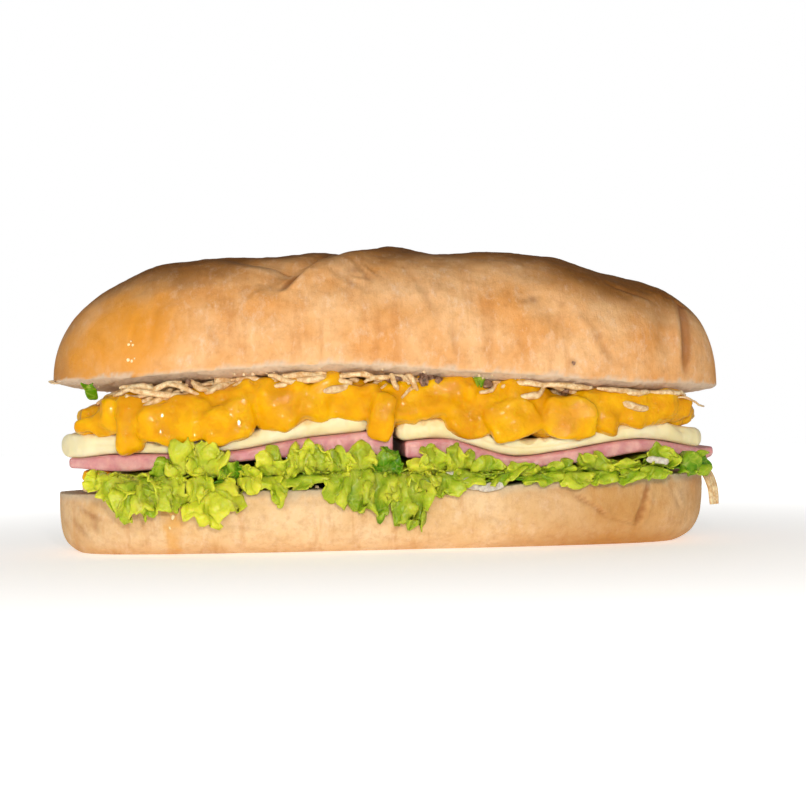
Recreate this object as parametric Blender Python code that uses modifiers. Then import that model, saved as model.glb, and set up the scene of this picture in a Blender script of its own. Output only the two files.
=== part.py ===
"""Submarine sandwich: a split roll holding ham, cheese, lettuce, diced fruit and shredded chicken.

Metres, +Z up. The roll lies along X, its front faces -Y, and it stands on its flat underside
at z = 0. Two slices of ham and two of cheese lie end to end along the roll.
"""
import bisect
import math
import random

import bmesh
import bpy
from mathutils import Euler, Vector

# Roll: the crown is its upper half and the heel its lower half
CROWN_HALF_LENGTH = 0.1129
CROWN_HALF_WIDTH = 0.0470
HEEL_HALF_WIDTH = 0.0412
HEEL_LEFT, HEEL_RIGHT = -0.1112, 0.1072
CRUMB_DROP = 0.0030
CRUMB_SWELL = 0.0006
GAP = 0.0005

# Smooth lines along the roll as (x, z): crust edges, and the crown's height above its own edge
CROWN_EDGE = [(-0.113, 0.0562), (-0.086, 0.0562), (-0.060, 0.0578), (-0.018, 0.0591),
              (0.014, 0.0570), (0.045, 0.0550), (0.074, 0.0529), (0.113, 0.0525)]
CROWN_RISE = [(-0.113, 0.0472), (-0.080, 0.0460), (-0.045, 0.0402), (0.000, 0.0415),
              (0.046, 0.0442), (0.080, 0.0425), (0.113, 0.0500)]
HEEL_EDGE = [(-0.111, 0.0192), (-0.060, 0.0202), (0.030, 0.0203), (0.050, 0.0218),
             (0.080, 0.0224), (0.107, 0.0232)]

# Under and upper sides of the slices as (x, z)
HAM_UNDER = [(-0.101, 0.0277), (-0.085, 0.0270), (-0.050, 0.0292), (-0.030, 0.0304),
             (0.002, 0.0298), (0.014, 0.0294), (0.030, 0.0263), (0.040, 0.0257),
             (0.060, 0.0275), (0.082, 0.0303), (0.100, 0.0275), (0.106, 0.0284)]
HAM_OVER_LEFT = [(-0.101, 0.0310), (-0.090, 0.0322), (-0.055, 0.0323), (-0.032, 0.0360),
                 (-0.011, 0.0384), (-0.003, 0.0400)]
HAM_OVER_RIGHT = [(0.000, 0.0352), (0.014, 0.0357), (0.026, 0.0320), (0.036, 0.0295),
                  (0.051, 0.0309), (0.077, 0.0341), (0.100, 0.0312), (0.106, 0.0316)]
CHEESE_OVER_LEFT = [(-0.105, 0.0385), (-0.092, 0.0387), (-0.077, 0.0360), (-0.060, 0.0367),
                    (-0.032, 0.0418), (-0.020, 0.0444), (-0.010, 0.0436)]
CHEESE_OVER_RIGHT = [(-0.003, 0.0410), (0.012, 0.0420), (0.021, 0.0380), (0.038, 0.0350),
                     (0.050, 0.0353), (0.065, 0.0378), (0.077, 0.0398), (0.095, 0.0380)]
FRUIT_OVER = [(-0.101, 0.0440), (-0.090, 0.0492), (-0.077, 0.0484), (-0.060, 0.0515),
              (-0.041, 0.0544), (-0.022, 0.0554), (-0.006, 0.0514), (0.011, 0.0530),
              (0.036, 0.0518), (0.050, 0.0482), (0.077, 0.0486), (0.096, 0.0458)]

# Slices, each by the x of its two ends
HAM_LEFT, HAM_RIGHT = (-0.1054, -0.0034), (0.0004, 0.1056)
CHEESE_LEFT, CHEESE_RIGHT = (-0.1085, -0.0104), (-0.0023, 0.1005)
SLICE_HALF_WIDTH = 0.0418
SLICE_COLUMNS, SLICE_ROWS = 14, 4
HAM_EDGE_ROUND = 0.0011
CHEESE_EDGE_ROUND = 0.0017
FILLING_REACH = 0.1125

# Diced fruit
FRUIT_ENDS = (-0.0965, 0.0925)
FRUIT_CORE_HALF = 0.0350
FRUIT_OUTER_HALF = 0.0460
FRUIT_CORE_STEP = 0.0035
FRUIT_CORE_CLEARANCE = 0.0120
FRUIT_CLEARANCE = 0.0040
FRUIT_PITCH = 0.0144
FRUIT_WIDTHS = (0.0115, 0.0160)
FRUIT_HEIGHTS = (0.0085, 0.0130)
FRUIT_DEPTH = 0.0125
FRUIT_BEVEL = 0.27

# Dice that hang down before the cheese, as (x, z of the middle, width, height)
FRUIT_DROPS = [(-0.0850, 0.0415, 0.0085, 0.0160), (-0.0550, 0.0415, 0.0120, 0.0100),
               (-0.0068, 0.0425, 0.0070, 0.0130), (0.0360, 0.0405, 0.0130, 0.0120)]
DROP_DEPTH = 0.0040

# Shredded chicken
CHICKEN_ENDS = (-0.0860, 0.0840)
CHICKEN_CORE_HALF = 0.0300
SHRED_RADIUS = 0.0014
SHRED_PITCH = 0.0100
SHRED_LEANS = (0.006, 0.016)

# Lettuce: the inner share of a leaf lies in the stack and the rest hangs over the heel's edge
LEAF_THICKNESS = 0.0008
LEAF_STACK_HALF = 0.0405
LEAF_HANG_HALF = 0.0448
LEAF_STACK_SHARE = 0.66
LEAF_COLUMN_WIDTH, LEAF_ROWS = 0.0026, 12
LEAF_WAVE, LEAF_FINE_WAVE = 0.0155, 0.0093
LEAF_WAVE_DEPTH, LEAF_FINE_DEPTH = 0.0016, 0.0011

# Leaves as the x of both ends at the hem, how far each end bows out, and the frill's phase
LEAVES = {"lettuce_left": (-0.0905, -0.0455, 0.0010, 0.0006, 0.3),
          "lettuce_middle": (-0.0440, 0.0105, -0.0010, 0.0010, 1.7),
          "lettuce_right": (0.0232, 0.0945, 0.0008, 0.0000, 2.6)}
HEM = [(-0.098, 0.0205), (-0.083, 0.0125), (-0.075, 0.0128), (-0.066, 0.0145),
       (-0.057, 0.0108), (-0.050, 0.0180), (-0.036, 0.0170), (-0.020, 0.0195),
       (-0.013, 0.0115), (-0.001, 0.0085), (0.007, 0.0140), (0.018, 0.0205),
       (0.040, 0.0205), (0.060, 0.0190), (0.085, 0.0205), (0.103, 0.0195)]

# Grooves of the crown as two ends, depth and width. An end is (x, turn), turn going from 0 at
# the front edge over the top to pi at the back edge. The first four are the long overlapping fold.
FOLD_LIP = 0.45
GROOVES = [((-0.041, 0.72), (-0.024, 1.15), 0.0036, 0.0050),
           ((-0.024, 1.15), (0.000, 1.72), 0.0034, 0.0052),
           ((0.000, 1.72), (0.034, 2.25), 0.0028, 0.0052),
           ((-0.052, 1.20), (-0.034, 0.93), 0.0022, 0.0040),
           ((0.089, 0.80), (0.085, 0.04), 0.0024, 0.0042),
           ((0.042, 0.62), (0.054, 0.25), 0.0010, 0.0046),
           ((-0.060, 2.45), (-0.010, 2.75), 0.0016, 0.0050),
           ((0.058, 2.70), (0.082, 2.20), 0.0016, 0.0050)]

# Colours as linear RGB
CRUST = (0.78, 0.45, 0.19)
CRUST_PALE = (0.80, 0.52, 0.27)
HAM_PINK = (0.62, 0.24, 0.24)
CREAM = (0.82, 0.71, 0.38)
LEAF_GREEN = (0.36, 0.50, 0.05)
FRUIT_YELLOW = (0.78, 0.42, 0.01)
COOKED_MEAT = (0.62, 0.44, 0.24)
ONION_WHITE = (0.72, 0.70, 0.55)

sandwich = bpy.data.collections.new("submarine_sandwich")


def line(points, x):
    """Height of the smooth curve through the (x, z) points, level past both ends."""
    xs = [point[0] for point in points]
    if x <= xs[0]:
        return points[0][1]
    if x >= xs[-1]:
        return points[-1][1]
    i = bisect.bisect_right(xs, x) - 1
    (x0, z0), (x1, z1) = points[i], points[i + 1]
    before = points[max(i - 1, 0)]
    after = points[min(i + 2, len(points) - 1)]
    slope0 = (z1 - before[1]) / (x1 - before[0])
    slope1 = (after[1] - z0) / (after[0] - x0)
    width = x1 - x0
    t = (x - x0) / width
    return ((1 + 2 * t) * (1 - t) ** 2 * z0 + t * (1 - t) ** 2 * width * slope0
            + t * t * (3 - 2 * t) * z1 + t * t * (t - 1) * width * slope1)


def signed_power(value, power):
    return math.copysign(abs(value) ** power, value)


def round_end(x, reach, power, root):
    """Share of its full size that a form keeps at x, rounding off towards its reach."""
    inside = max(0.0, 1 - abs(x / reach) ** power)
    return inside ** (1 / root)


def filling_half(x, full):
    """Half width at x of a filling layer that is full wide in the middle."""
    return full * round_end(x, FILLING_REACH, 5.0, 2.5)


def settle(x, y):
    """Small shared waves of the stacked layers, so that no layer lies dead flat."""
    crown = 0.0009 * (1 - (y / SLICE_HALF_WIDTH) ** 2)
    return crown + 0.0004 * math.sin(61 * x + 1.0) * math.sin(74 * y + 0.6)


def crumb_face(x, y):
    """Height of the crown's cut face, which hangs below its crust edge."""
    across = min(1.0, abs(y) / CROWN_HALF_WIDTH) ** 10
    along = min(1.0, abs(x) / CROWN_HALF_LENGTH) ** 12
    return line(CROWN_EDGE, x) - CRUMB_DROP * (1 - across) * (1 - along)


def heel_face(x):
    """Height of the heel's cut face, which swells a little above its crust edge."""
    return line(HEEL_EDGE, x) + CRUMB_SWELL


def ham_over(x):
    """Upper side of whichever ham slice lies at x."""
    if x < 0.5 * (HAM_LEFT[1] + HAM_RIGHT[0]):
        return line(HAM_OVER_LEFT, x)
    return line(HAM_OVER_RIGHT, x)


def slices_over(x):
    """Upper side of the ham and cheese at x."""
    highest = ham_over(x)
    for (left, right), over in ((CHEESE_LEFT, CHEESE_OVER_LEFT), (CHEESE_RIGHT, CHEESE_OVER_RIGHT)):
        if left - GAP < x < right + GAP:
            highest = max(highest, line(over, x))
    return highest


def fruit_floor(x, y, reach=FRUIT_CLEARANCE):
    """Lowest that fruit may reach at (x, y), clear of every slice within reach along the roll."""
    steps = (-1.0, -0.6, -0.3, 0.0, 0.3, 0.6, 1.0)
    return max(slices_over(x + reach * step) for step in steps) + GAP + settle(x, y)


def fruit_roof(x, y):
    """Highest that fruit may reach at (x, y)."""
    return min(line(FRUIT_OVER, x), crumb_face(x, y) - GAP)


def chicken_floor(x, y, reach=0.003):
    """Lowest that a shred may reach at (x, y), just above the fruit."""
    return max(fruit_roof(x + step, y) for step in (-reach, 0.0, reach)) + GAP


def chicken_roof(x, y):
    return crumb_face(x, y) - GAP


def finish(name, bm, colour, roughness):
    """One named object with its own Principled material, in the sandwich's collection."""
    mesh = bpy.data.meshes.new(name)
    bm.to_mesh(mesh)
    bm.free()
    obj = bpy.data.objects.new(name, mesh)
    sandwich.objects.link(obj)
    mesh.shade_smooth()
    mesh.set_sharp_from_angle(angle=math.radians(40))
    material = bpy.data.materials.new(name)
    material.use_nodes = True
    shader = material.node_tree.nodes["Principled BSDF"]
    shader.inputs["Base Color"].default_value = (*colour, 1.0)
    shader.inputs["Roughness"].default_value = roughness
    shader.inputs["Metallic"].default_value = 0.0
    mesh.materials.append(material)
    return obj


def ball_along_x(segments, rings):
    """Unit sphere whose poles lie on the X axis."""
    bm = bmesh.new()
    bmesh.ops.create_uvsphere(bm, u_segments=segments, v_segments=rings, radius=1.0)
    for vert in bm.verts:
        vert.co = Vector((vert.co.z, vert.co.x, vert.co.y))
    return bm


def groove(x, turn, start, end, depth, width):
    """Inward push at (x, turn) of one groove, with a raised lip along its right-hand side."""
    along = Vector((end[0] - start[0], (end[1] - start[1]) * CROWN_HALF_WIDTH))
    offset = Vector((x - start[0], (turn - start[1]) * CROWN_HALF_WIDTH))
    share = max(0.0, min(1.0, offset.dot(along) / along.length_squared))
    away = offset - along * share
    side = math.copysign(1.0, along.x * away.y - along.y * away.x)
    push = math.exp(-(away.length / width) ** 2)
    lip = FOLD_LIP * math.exp(-((side * away.length / width + 1.7) / 1.1) ** 2)
    fade = math.sin(math.pi * (0.12 + 0.76 * share))
    return depth * fade * (push - lip)


def crown_point(direction):
    """Point of the roll's upper half for a direction on the unit sphere."""
    x = CROWN_HALF_LENGTH * signed_power(direction.x, 2 / 2.4)
    turn = math.atan2(direction.z, -direction.y)
    half = CROWN_HALF_WIDTH * round_end(x, CROWN_HALF_LENGTH, 3.4, 2.3)
    if turn < 0:
        y = -half * math.cos(turn)
        spread = CROWN_HALF_WIDTH / max(half, 0.001)
        return Vector((x, y, crumb_face(x, y * spread)))
    edge = line(CROWN_EDGE, x)
    end_power = 2.8 if x < 0 else 4.0
    share = round_end(x, CROWN_HALF_LENGTH, end_power, 2.2)
    y = -half * signed_power(math.cos(turn), 2 / 2.35)
    rise = line(CROWN_RISE, x) * share * math.sin(turn) ** (2 / 2.35)
    point = Vector((x, y, edge + rise))
    outward = (point - Vector((x, 0.0, edge + 0.010))).normalized()
    lumps = 0.0007 * math.sin(130 * x + 2 * turn) * math.sin(95 * x - turn + 1.0)
    push = sum(groove(x, turn, *values) for values in GROOVES)
    return point + outward * (lumps * math.sin(turn) - push * min(1.0, 3 * math.sin(turn))) * share


def heel_point(direction):
    """Point of the roll's lower half for a direction on the unit sphere."""
    along = signed_power(direction.x, 2 / 2.6)
    x = 0.5 * (HEEL_LEFT + HEEL_RIGHT) + 0.5 * (HEEL_RIGHT - HEEL_LEFT) * along
    turn = math.atan2(-direction.z, -direction.y)
    half = HEEL_HALF_WIDTH * round_end(along, 1.0, 3.6, 2.4)
    edge = line(HEEL_EDGE, x)
    if turn < 0:
        return Vector((x, -half * math.cos(turn), edge + CRUMB_SWELL * abs(math.sin(turn)) ** 0.5))
    depth = 1.10 * edge * round_end(along, 1.0, 20.0 if along < 0 else 13.0, 3.2)
    y = -half * signed_power(math.cos(turn), 2 / 3.6)
    return Vector((x, y, max(0.0, edge - depth * math.sin(turn) ** (2 / 3.3))))


def make_roll():
    """Both halves of the roll: a domed crown, and a heel that is flat underneath."""
    crown = ball_along_x(34, 37)
    for vert in crown.verts:
        vert.co = crown_point(vert.co)
    finish("top_bun", crown, CRUST, 0.55)
    heel = ball_along_x(26, 29)
    for vert in heel.verts:
        vert.co = heel_point(vert.co)
    finish("bottom_bun", heel, CRUST_PALE, 0.60)


def unit_slab(columns, rows):
    """Box from -1 to 1 split into columns and rows, with a middle ring round its side."""
    bm = bmesh.new()
    bmesh.ops.create_grid(bm, x_segments=columns, y_segments=rows, size=1.0)
    sheet = bmesh.ops.extrude_face_region(bm, geom=bm.faces[:])
    raised = [item for item in sheet["geom"] if isinstance(item, bmesh.types.BMVert)]
    for vert in bm.verts:
        vert.co.z = -1.0
    for vert in raised:
        vert.co.z = 1.0
    upright = [edge for edge in bm.edges if abs(edge.verts[0].co.z - edge.verts[1].co.z) > 1.0]
    bmesh.ops.subdivide_edges(bm, edges=upright, cuts=1)
    bmesh.ops.recalc_face_normals(bm, faces=bm.faces[:])
    return bm


def between(ends, share):
    """Position from the first end, at share -1, to the second, at share 1."""
    return ends[0] + (ends[1] - ends[0]) * 0.5 * (share + 1)


def make_slice(name, ends, under, over, edge_round, colour, roughness):
    """A slice between two height functions, narrowing where the roll ends."""
    bm = unit_slab(SLICE_COLUMNS, SLICE_ROWS)
    for vert in bm.verts:
        u, v, w = vert.co
        x = between(ends, u)
        y = v * filling_half(x, SLICE_HALF_WIDTH) * (1 + 0.006 * math.sin(170 * x + 2 * v))
        inset = edge_round * abs(w)
        if abs(u) > 0.999:
            x -= math.copysign(inset, u)
        if abs(v) > 0.999:
            y -= math.copysign(inset, v)
        heights = (under(x) + settle(x, y), over(x) + settle(x, y))
        vert.co = Vector((x, y, between(heights, w)))
    return finish(name, bm, colour, roughness)


def make_slices():
    """Two slices of cooked ham, the left one folded thicker inside, and two of cheese on them."""
    for name, ends, over in (("left", HAM_LEFT, HAM_OVER_LEFT), ("right", HAM_RIGHT, HAM_OVER_RIGHT)):
        make_slice("ham_" + name, ends, lambda x: line(HAM_UNDER, x),
                   lambda x, over=over: line(over, x), HAM_EDGE_ROUND, HAM_PINK, 0.40)
    for name, ends, ham, over in (("left", CHEESE_LEFT, HAM_OVER_LEFT, CHEESE_OVER_LEFT),
                                  ("right", CHEESE_RIGHT, HAM_OVER_RIGHT, CHEESE_OVER_RIGHT)):
        make_slice("cheese_" + name, ends, lambda x, ham=ham: line(ham, x) + GAP,
                   lambda x, over=over: line(over, x), CHEESE_EDGE_ROUND, CREAM, 0.45)


def leaf_point(u, v, left, right, bow_left, bow_right, phase):
    """Point of a leaf's middle surface, u and v from -1 to 1 along and across the roll."""
    bow = 1 - v ** 4
    x = between((left - bow_left * bow, right + bow_right * bow), u)
    side = math.copysign(1.0, v)
    inner = min(1.0, abs(v) / LEAF_STACK_SHARE)
    outer = max(0.0, (abs(v) - LEAF_STACK_SHARE) / (1 - LEAF_STACK_SHARE))
    wave = math.sin(2 * math.pi * x / LEAF_WAVE + phase + 1.2 * side)
    fine = math.sin(2 * math.pi * x / LEAF_FINE_WAVE + 2 * phase)
    reach = (LEAF_HANG_HALF - LEAF_STACK_HALF) * math.sin(0.5 * math.pi * outer)
    y = side * (LEAF_STACK_HALF * inner + reach) * filling_half(x, 1.0)
    y += side * outer * LEAF_WAVE_DEPTH * wave
    low, high = heel_face(x), line(HAM_UNDER, x) + settle(x, y)
    middle = 0.5 * (low + high)
    room = max(0.0, 0.5 * (high - low) - LEAF_THICKNESS - GAP)
    hem = line(HEM, x if v < 0 else -x)
    z = middle + (hem - middle) * outer ** 1.4
    z += 0.75 * room * wave * inner * (1 - outer) + LEAF_FINE_DEPTH * fine * outer
    return Vector((x, y, z))


def make_lettuce():
    """Frilled leaves lying across the roll and hanging over both of its sides."""
    for name, leaf in LEAVES.items():
        bm = bmesh.new()
        columns = round((leaf[1] - leaf[0]) / LEAF_COLUMN_WIDTH)
        bmesh.ops.create_grid(bm, x_segments=columns, y_segments=LEAF_ROWS, size=1.0)
        for vert in bm.verts:
            vert.co = leaf_point(vert.co.x, vert.co.y, *leaf)
        bmesh.ops.triangulate(bm, faces=bm.faces[:])
        obj = finish(name, bm, LEAF_GREEN, 0.45)
        shell = obj.modifiers.new("thickness", "SOLIDIFY")
        shell.thickness = LEAF_THICKNESS
        shell.offset = 0.0


def enclosed_volume(faces):
    """Signed volume inside a set of faces."""
    total = 0.0
    for face in faces:
        first = face.verts[0].co
        for second, third in zip(face.verts[1:], face.verts[2:]):
            total += first.dot(second.co.cross(third.co)) / 6
    return total


def keep_main_body(mesh):
    """Drop loose scraps and fill sealed hollows, so that only the largest outer skin stays."""
    bm = bmesh.new()
    bm.from_mesh(mesh)
    unseen = set(bm.faces)
    bodies = []
    while unseen:
        stack = [unseen.pop()]
        body = []
        while stack:
            face = stack.pop()
            body.append(face)
            for other in [near for edge in face.edges for near in edge.link_faces]:
                if other in unseen:
                    unseen.remove(other)
                    stack.append(other)
        bodies.append(body)
    bodies.sort(key=enclosed_volume)
    spare = [face for body in bodies[:-1] for face in body]
    bmesh.ops.delete(bm, geom=spare, context="FACES")
    bm.to_mesh(mesh)
    bm.free()


def fuse(core, pieces):
    """Join the pieces that show on a heap to its core, as one closed skin."""
    group = bpy.data.collections.new(core.name + "_pieces")
    bpy.context.scene.collection.children.link(group)
    for piece in pieces:
        group.objects.link(piece)
    union = core.modifiers.new("union", "BOOLEAN")
    union.operation = "UNION"
    union.operand_type = "COLLECTION"
    union.collection = group
    depsgraph = bpy.context.evaluated_depsgraph_get()
    fused = bpy.data.meshes.new_from_object(core.evaluated_get(depsgraph))
    core.modifiers.clear()
    core.data = fused
    for piece in pieces:
        bpy.data.objects.remove(piece, do_unlink=True)
    bpy.data.collections.remove(group)
    keep_main_body(fused)
    fused.set_sharp_from_angle(angle=math.radians(40))


def heap_core(name, ends, half, under, over, colour, roughness):
    """The plain inner block of a heap, between two height functions."""
    bm = unit_slab(SLICE_COLUMNS, 2)
    for vert in bm.verts:
        u, v, w = vert.co
        x = between(ends, u)
        y = v * filling_half(x, half)
        vert.co = Vector((x, y, between((under(x, y), over(x, y)), w)))
    return finish(name, bm, colour, roughness)


def dice(name, rng, centre, size, tilt, colour, place):
    """One rounded dice whose points are each moved to where place allows them."""
    bm = bmesh.new()
    bmesh.ops.create_cube(bm, size=1.0)
    bmesh.ops.bevel(bm, geom=bm.edges[:], offset=FRUIT_BEVEL, segments=1, affect="EDGES")
    turn = Euler(tilt).to_matrix()
    for vert in bm.verts:
        swell = Vector([rng.uniform(0.92, 1.08) for _ in range(3)])
        vert.co = place(turn @ (vert.co * swell * Vector(size)) + Vector(centre))
    return finish(name, bm, colour, 0.25)


def in_fruit_layer(point):
    """The point, kept between the slices below the fruit and the crown above it."""
    low, high = fruit_floor(point.x, point.y), fruit_roof(point.x, point.y)
    return Vector((point.x, point.y, max(low, min(high, point.z))))


def side_dice(rng, side):
    """Dice along one side of the heap, in a second row where the layer is tall enough."""
    pieces = []
    count = round((FRUIT_ENDS[1] - FRUIT_ENDS[0]) / FRUIT_PITCH)

    def place(point):
        inner = filling_half(point.x, CHICKEN_CORE_HALF) + GAP
        point.y = side * min(FRUIT_OUTER_HALF, max(inner, side * point.y))
        return in_fruit_layer(point)

    for i in range(count + 1):
        x = FRUIT_ENDS[0] + FRUIT_PITCH * (i + rng.uniform(-0.18, 0.18))
        edge = filling_half(x, SLICE_HALF_WIDTH)
        low, high = fruit_floor(x, side * edge), fruit_roof(x, side * edge)
        tall = rng.uniform(*FRUIT_HEIGHTS)
        rows = [(x, low + 0.5 * tall, 0.0)]
        if high - low > 1.5 * tall:
            rows.append((x + 0.45 * FRUIT_PITCH, high - 0.42 * tall, 0.0015))
        for px, pz, back in rows:
            size = (rng.uniform(*FRUIT_WIDTHS), FRUIT_DEPTH, tall * rng.uniform(0.9, 1.15))
            py = side * (edge - 0.0035 - back + rng.uniform(-0.0012, 0.0012))
            tilt = [rng.uniform(-0.4, 0.4) for _ in range(3)]
            name = f"dice_{side}_{len(pieces)}"
            pieces.append(dice(name, rng, (px, py, pz), size, tilt, FRUIT_YELLOW, place))
    return pieces


def end_dice(rng, side, end):
    """Dice across one end of the heap."""
    pieces = []
    limit = CHICKEN_ENDS[0] if side < 0 else CHICKEN_ENDS[1]

    def place(point):
        point.x = side * max(side * point.x, side * limit + GAP)
        return in_fruit_layer(point)

    for y in (-0.016, 0.000, 0.015):
        z = 0.5 * (fruit_floor(end, y) + fruit_roof(end, y)) + rng.uniform(-0.001, 0.001)
        size = (0.0115, rng.uniform(0.012, 0.015), rng.uniform(*FRUIT_HEIGHTS))
        tilt = [rng.uniform(-0.3, 0.3) for _ in range(3)]
        name = f"end_dice_{side}_{len(pieces)}"
        pieces.append(dice(name, rng, (end, y, z), size, tilt, FRUIT_YELLOW, place))
    return pieces


def hanging_dice(rng, side):
    """Dice that hang over the edge of the cheese, mirrored along the roll at the back."""
    pieces = []

    def place(point):
        inner = 1.008 * filling_half(point.x, SLICE_HALF_WIDTH) + GAP
        point.y = side * max(side * point.y, inner)
        point.z = min(point.z, fruit_roof(point.x, point.y))
        return point

    for x, z, width, height in FRUIT_DROPS:
        px = -side * x
        py = side * (filling_half(px, SLICE_HALF_WIDTH) + 0.0006 + 0.5 * DROP_DEPTH)
        tilt = (0.0, rng.uniform(-0.35, 0.35), 0.0)
        size = (width, DROP_DEPTH, height)
        name = f"drop_{side}_{len(pieces)}"
        pieces.append(dice(name, rng, (px, py, z), size, tilt, FRUIT_YELLOW, place))
    return pieces


def make_fruit():
    """Heap of diced yellow fruit: a core with dice along its sides and ends."""
    rng = random.Random(41)
    core = heap_core("diced_fruit", FRUIT_ENDS, FRUIT_CORE_HALF,
                     lambda x, y: fruit_floor(x, y, FRUIT_CORE_CLEARANCE),
                     lambda x, y: fruit_roof(x, y) - FRUIT_CORE_STEP, FRUIT_YELLOW, 0.25)
    pieces = []
    for side, end in zip((-1, 1), FRUIT_ENDS):
        pieces += side_dice(rng, side) + end_dice(rng, side, end) + hanging_dice(rng, side)
    fuse(core, pieces)


def tube(name, path, radius, sides_step, colour, place):
    """A soft strip along a path, thinner at both ends, as a closed mesh."""
    curve = bpy.data.curves.new(name, "CURVE")
    curve.dimensions = "3D"
    curve.bevel_depth = radius
    curve.bevel_resolution = sides_step
    curve.use_fill_caps = True
    spline = curve.splines.new("POLY")
    spline.points.add(len(path) - 1)
    for i, (point, position) in enumerate(zip(spline.points, path)):
        point.co = (*position, 1.0)
        point.radius = 0.55 if i in (0, len(path) - 1) else 1.0
    curved = bpy.data.objects.new(name, curve)
    sandwich.objects.link(curved)
    depsgraph = bpy.context.evaluated_depsgraph_get()
    mesh = bpy.data.meshes.new_from_object(curved.evaluated_get(depsgraph))
    bpy.data.objects.remove(curved, do_unlink=True)
    bm = bmesh.new()
    bm.from_mesh(mesh)
    bpy.data.meshes.remove(mesh)
    bmesh.ops.remove_doubles(bm, verts=bm.verts[:], dist=0.00001)
    for vert in bm.verts:
        vert.co = place(vert.co)
    return finish(name, bm, colour, 0.6)


def in_chicken_layer(point):
    """The point, kept between the fruit below the shreds and the crown above them."""
    low, high = chicken_floor(point.x, point.y), chicken_roof(point.x, point.y)
    return Vector((point.x, point.y, min(high, max(low, point.z))))


def shred_path(start, finish_at, bend):
    """Path of one shred in the middle of its layer, bending more towards its outer end."""
    path = []
    for share in (0.0, 0.4, 0.75, 1.0):
        x = start[0] + (finish_at[0] - start[0]) * share + bend[0] * share * share
        y = start[1] + (finish_at[1] - start[1]) * share + bend[1] * share * share
        path.append(Vector((x, y, 0.5 * (chicken_floor(x, y) + chicken_roof(x, y)))))
    return path


def make_chicken():
    """Shredded chicken under the crown: a flat core with shreds round its edges."""
    rng = random.Random(7)
    core = heap_core("shredded_chicken", CHICKEN_ENDS, CHICKEN_CORE_HALF,
                     lambda x, y: fruit_roof(x, y) - FRUIT_CORE_STEP + 2 * GAP,
                     chicken_roof, COOKED_MEAT, 0.6)
    paths = []
    count = round((CHICKEN_ENDS[1] - CHICKEN_ENDS[0]) / SHRED_PITCH)
    for side in (-1, 1):
        for i in range(count + 1):
            x = CHICKEN_ENDS[0] + SHRED_PITCH * (i + rng.uniform(-0.3, 0.3))
            lean = rng.choice((-1, 1)) * rng.uniform(*SHRED_LEANS)
            edge = filling_half(x + lean, SLICE_HALF_WIDTH) + rng.uniform(-0.001, 0.001)
            inner = filling_half(x, CHICKEN_CORE_HALF) - 0.003
            room = chicken_roof(x, side * edge) - chicken_floor(x, side * edge)
            if room > 1.2 * SHRED_RADIUS:
                paths.append(shred_path((x, side * inner), (x, side * edge), (lean, 0.0)))
        end = between(CHICKEN_ENDS, side)
        for y in (-0.020, -0.010, 0.001, 0.011, 0.020):
            bend = rng.choice((-0.006, 0.006))
            paths.append(shred_path((end - 0.003 * side, y), (end + 0.009 * side, y), (0.0, bend)))
    pieces = [tube(f"shred_{i}", path, SHRED_RADIUS, 0, COOKED_MEAT, in_chicken_layer)
              for i, path in enumerate(paths)]
    fuse(core, pieces)


def make_scraps():
    """Loose pieces between heel and ham, and a strip that hangs over the right end."""
    rng = random.Random(3)

    def on_heel(point):
        point.z = max(point.z, heel_face(point.x) + GAP)
        return point

    dice("chicken_scrap", rng, (-0.0965, -0.0250, 0.0222), (0.0080, 0.0075, 0.0032),
         (0.0, 0.05, 0.3), COOKED_MEAT, on_heel)
    dice("fruit_scrap", rng, (-0.0960, -0.0255, 0.0257), (0.0088, 0.0080, 0.0028),
         (0.0, 0.05, -0.2), FRUIT_YELLOW, on_heel)
    dice("onion_scrap", rng, (0.0168, -0.0385, 0.0232), (0.0088, 0.0075, 0.0038),
         (0.0, -0.06, 0.1), ONION_WHITE, on_heel)
    strip = [Vector(place) for place in ((0.0925, -0.0170, 0.0254), (0.0975, -0.0205, 0.0256),
                                         (0.1022, -0.0240, 0.0242), (0.1046, -0.0258, 0.0187),
                                         (0.1050, -0.0265, 0.0125))]
    tube("chicken_strip", strip, 0.0014, 1, COOKED_MEAT, lambda point: point)


def main():
    for obj in list(bpy.data.objects):
        bpy.data.objects.remove(obj, do_unlink=True)
    bpy.context.scene.collection.children.link(sandwich)
    make_roll()
    make_slices()
    make_lettuce()
    make_fruit()
    make_chicken()
    make_scraps()


main()
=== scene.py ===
"""Looks of the submarine sandwich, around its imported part.

Metres, +Z up. The roll lies along X, its front faces -Y, and it stands on its flat underside.
Every form repeats the measures of the part's own solids at a finer grain.
"""
import itertools
import math
import random

import bpy
import numpy as np
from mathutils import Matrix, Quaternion, Vector


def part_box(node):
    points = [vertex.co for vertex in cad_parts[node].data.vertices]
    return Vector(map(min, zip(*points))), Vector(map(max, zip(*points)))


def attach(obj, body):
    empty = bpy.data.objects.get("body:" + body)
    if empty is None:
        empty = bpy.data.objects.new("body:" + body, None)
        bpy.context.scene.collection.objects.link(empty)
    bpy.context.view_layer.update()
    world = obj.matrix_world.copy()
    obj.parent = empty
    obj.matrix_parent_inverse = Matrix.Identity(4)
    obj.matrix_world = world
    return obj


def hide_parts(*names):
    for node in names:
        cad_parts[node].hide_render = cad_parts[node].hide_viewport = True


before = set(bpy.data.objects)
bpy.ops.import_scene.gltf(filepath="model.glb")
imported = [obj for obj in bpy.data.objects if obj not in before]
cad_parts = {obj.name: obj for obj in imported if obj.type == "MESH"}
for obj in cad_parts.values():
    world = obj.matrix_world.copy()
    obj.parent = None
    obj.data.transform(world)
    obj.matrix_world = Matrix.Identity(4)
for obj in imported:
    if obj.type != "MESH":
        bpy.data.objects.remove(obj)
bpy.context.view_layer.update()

# Roll: the crown is its upper half and the heel its lower half
CROWN_HALF_LENGTH = 0.1129
CROWN_HALF_WIDTH = 0.0470
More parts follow.
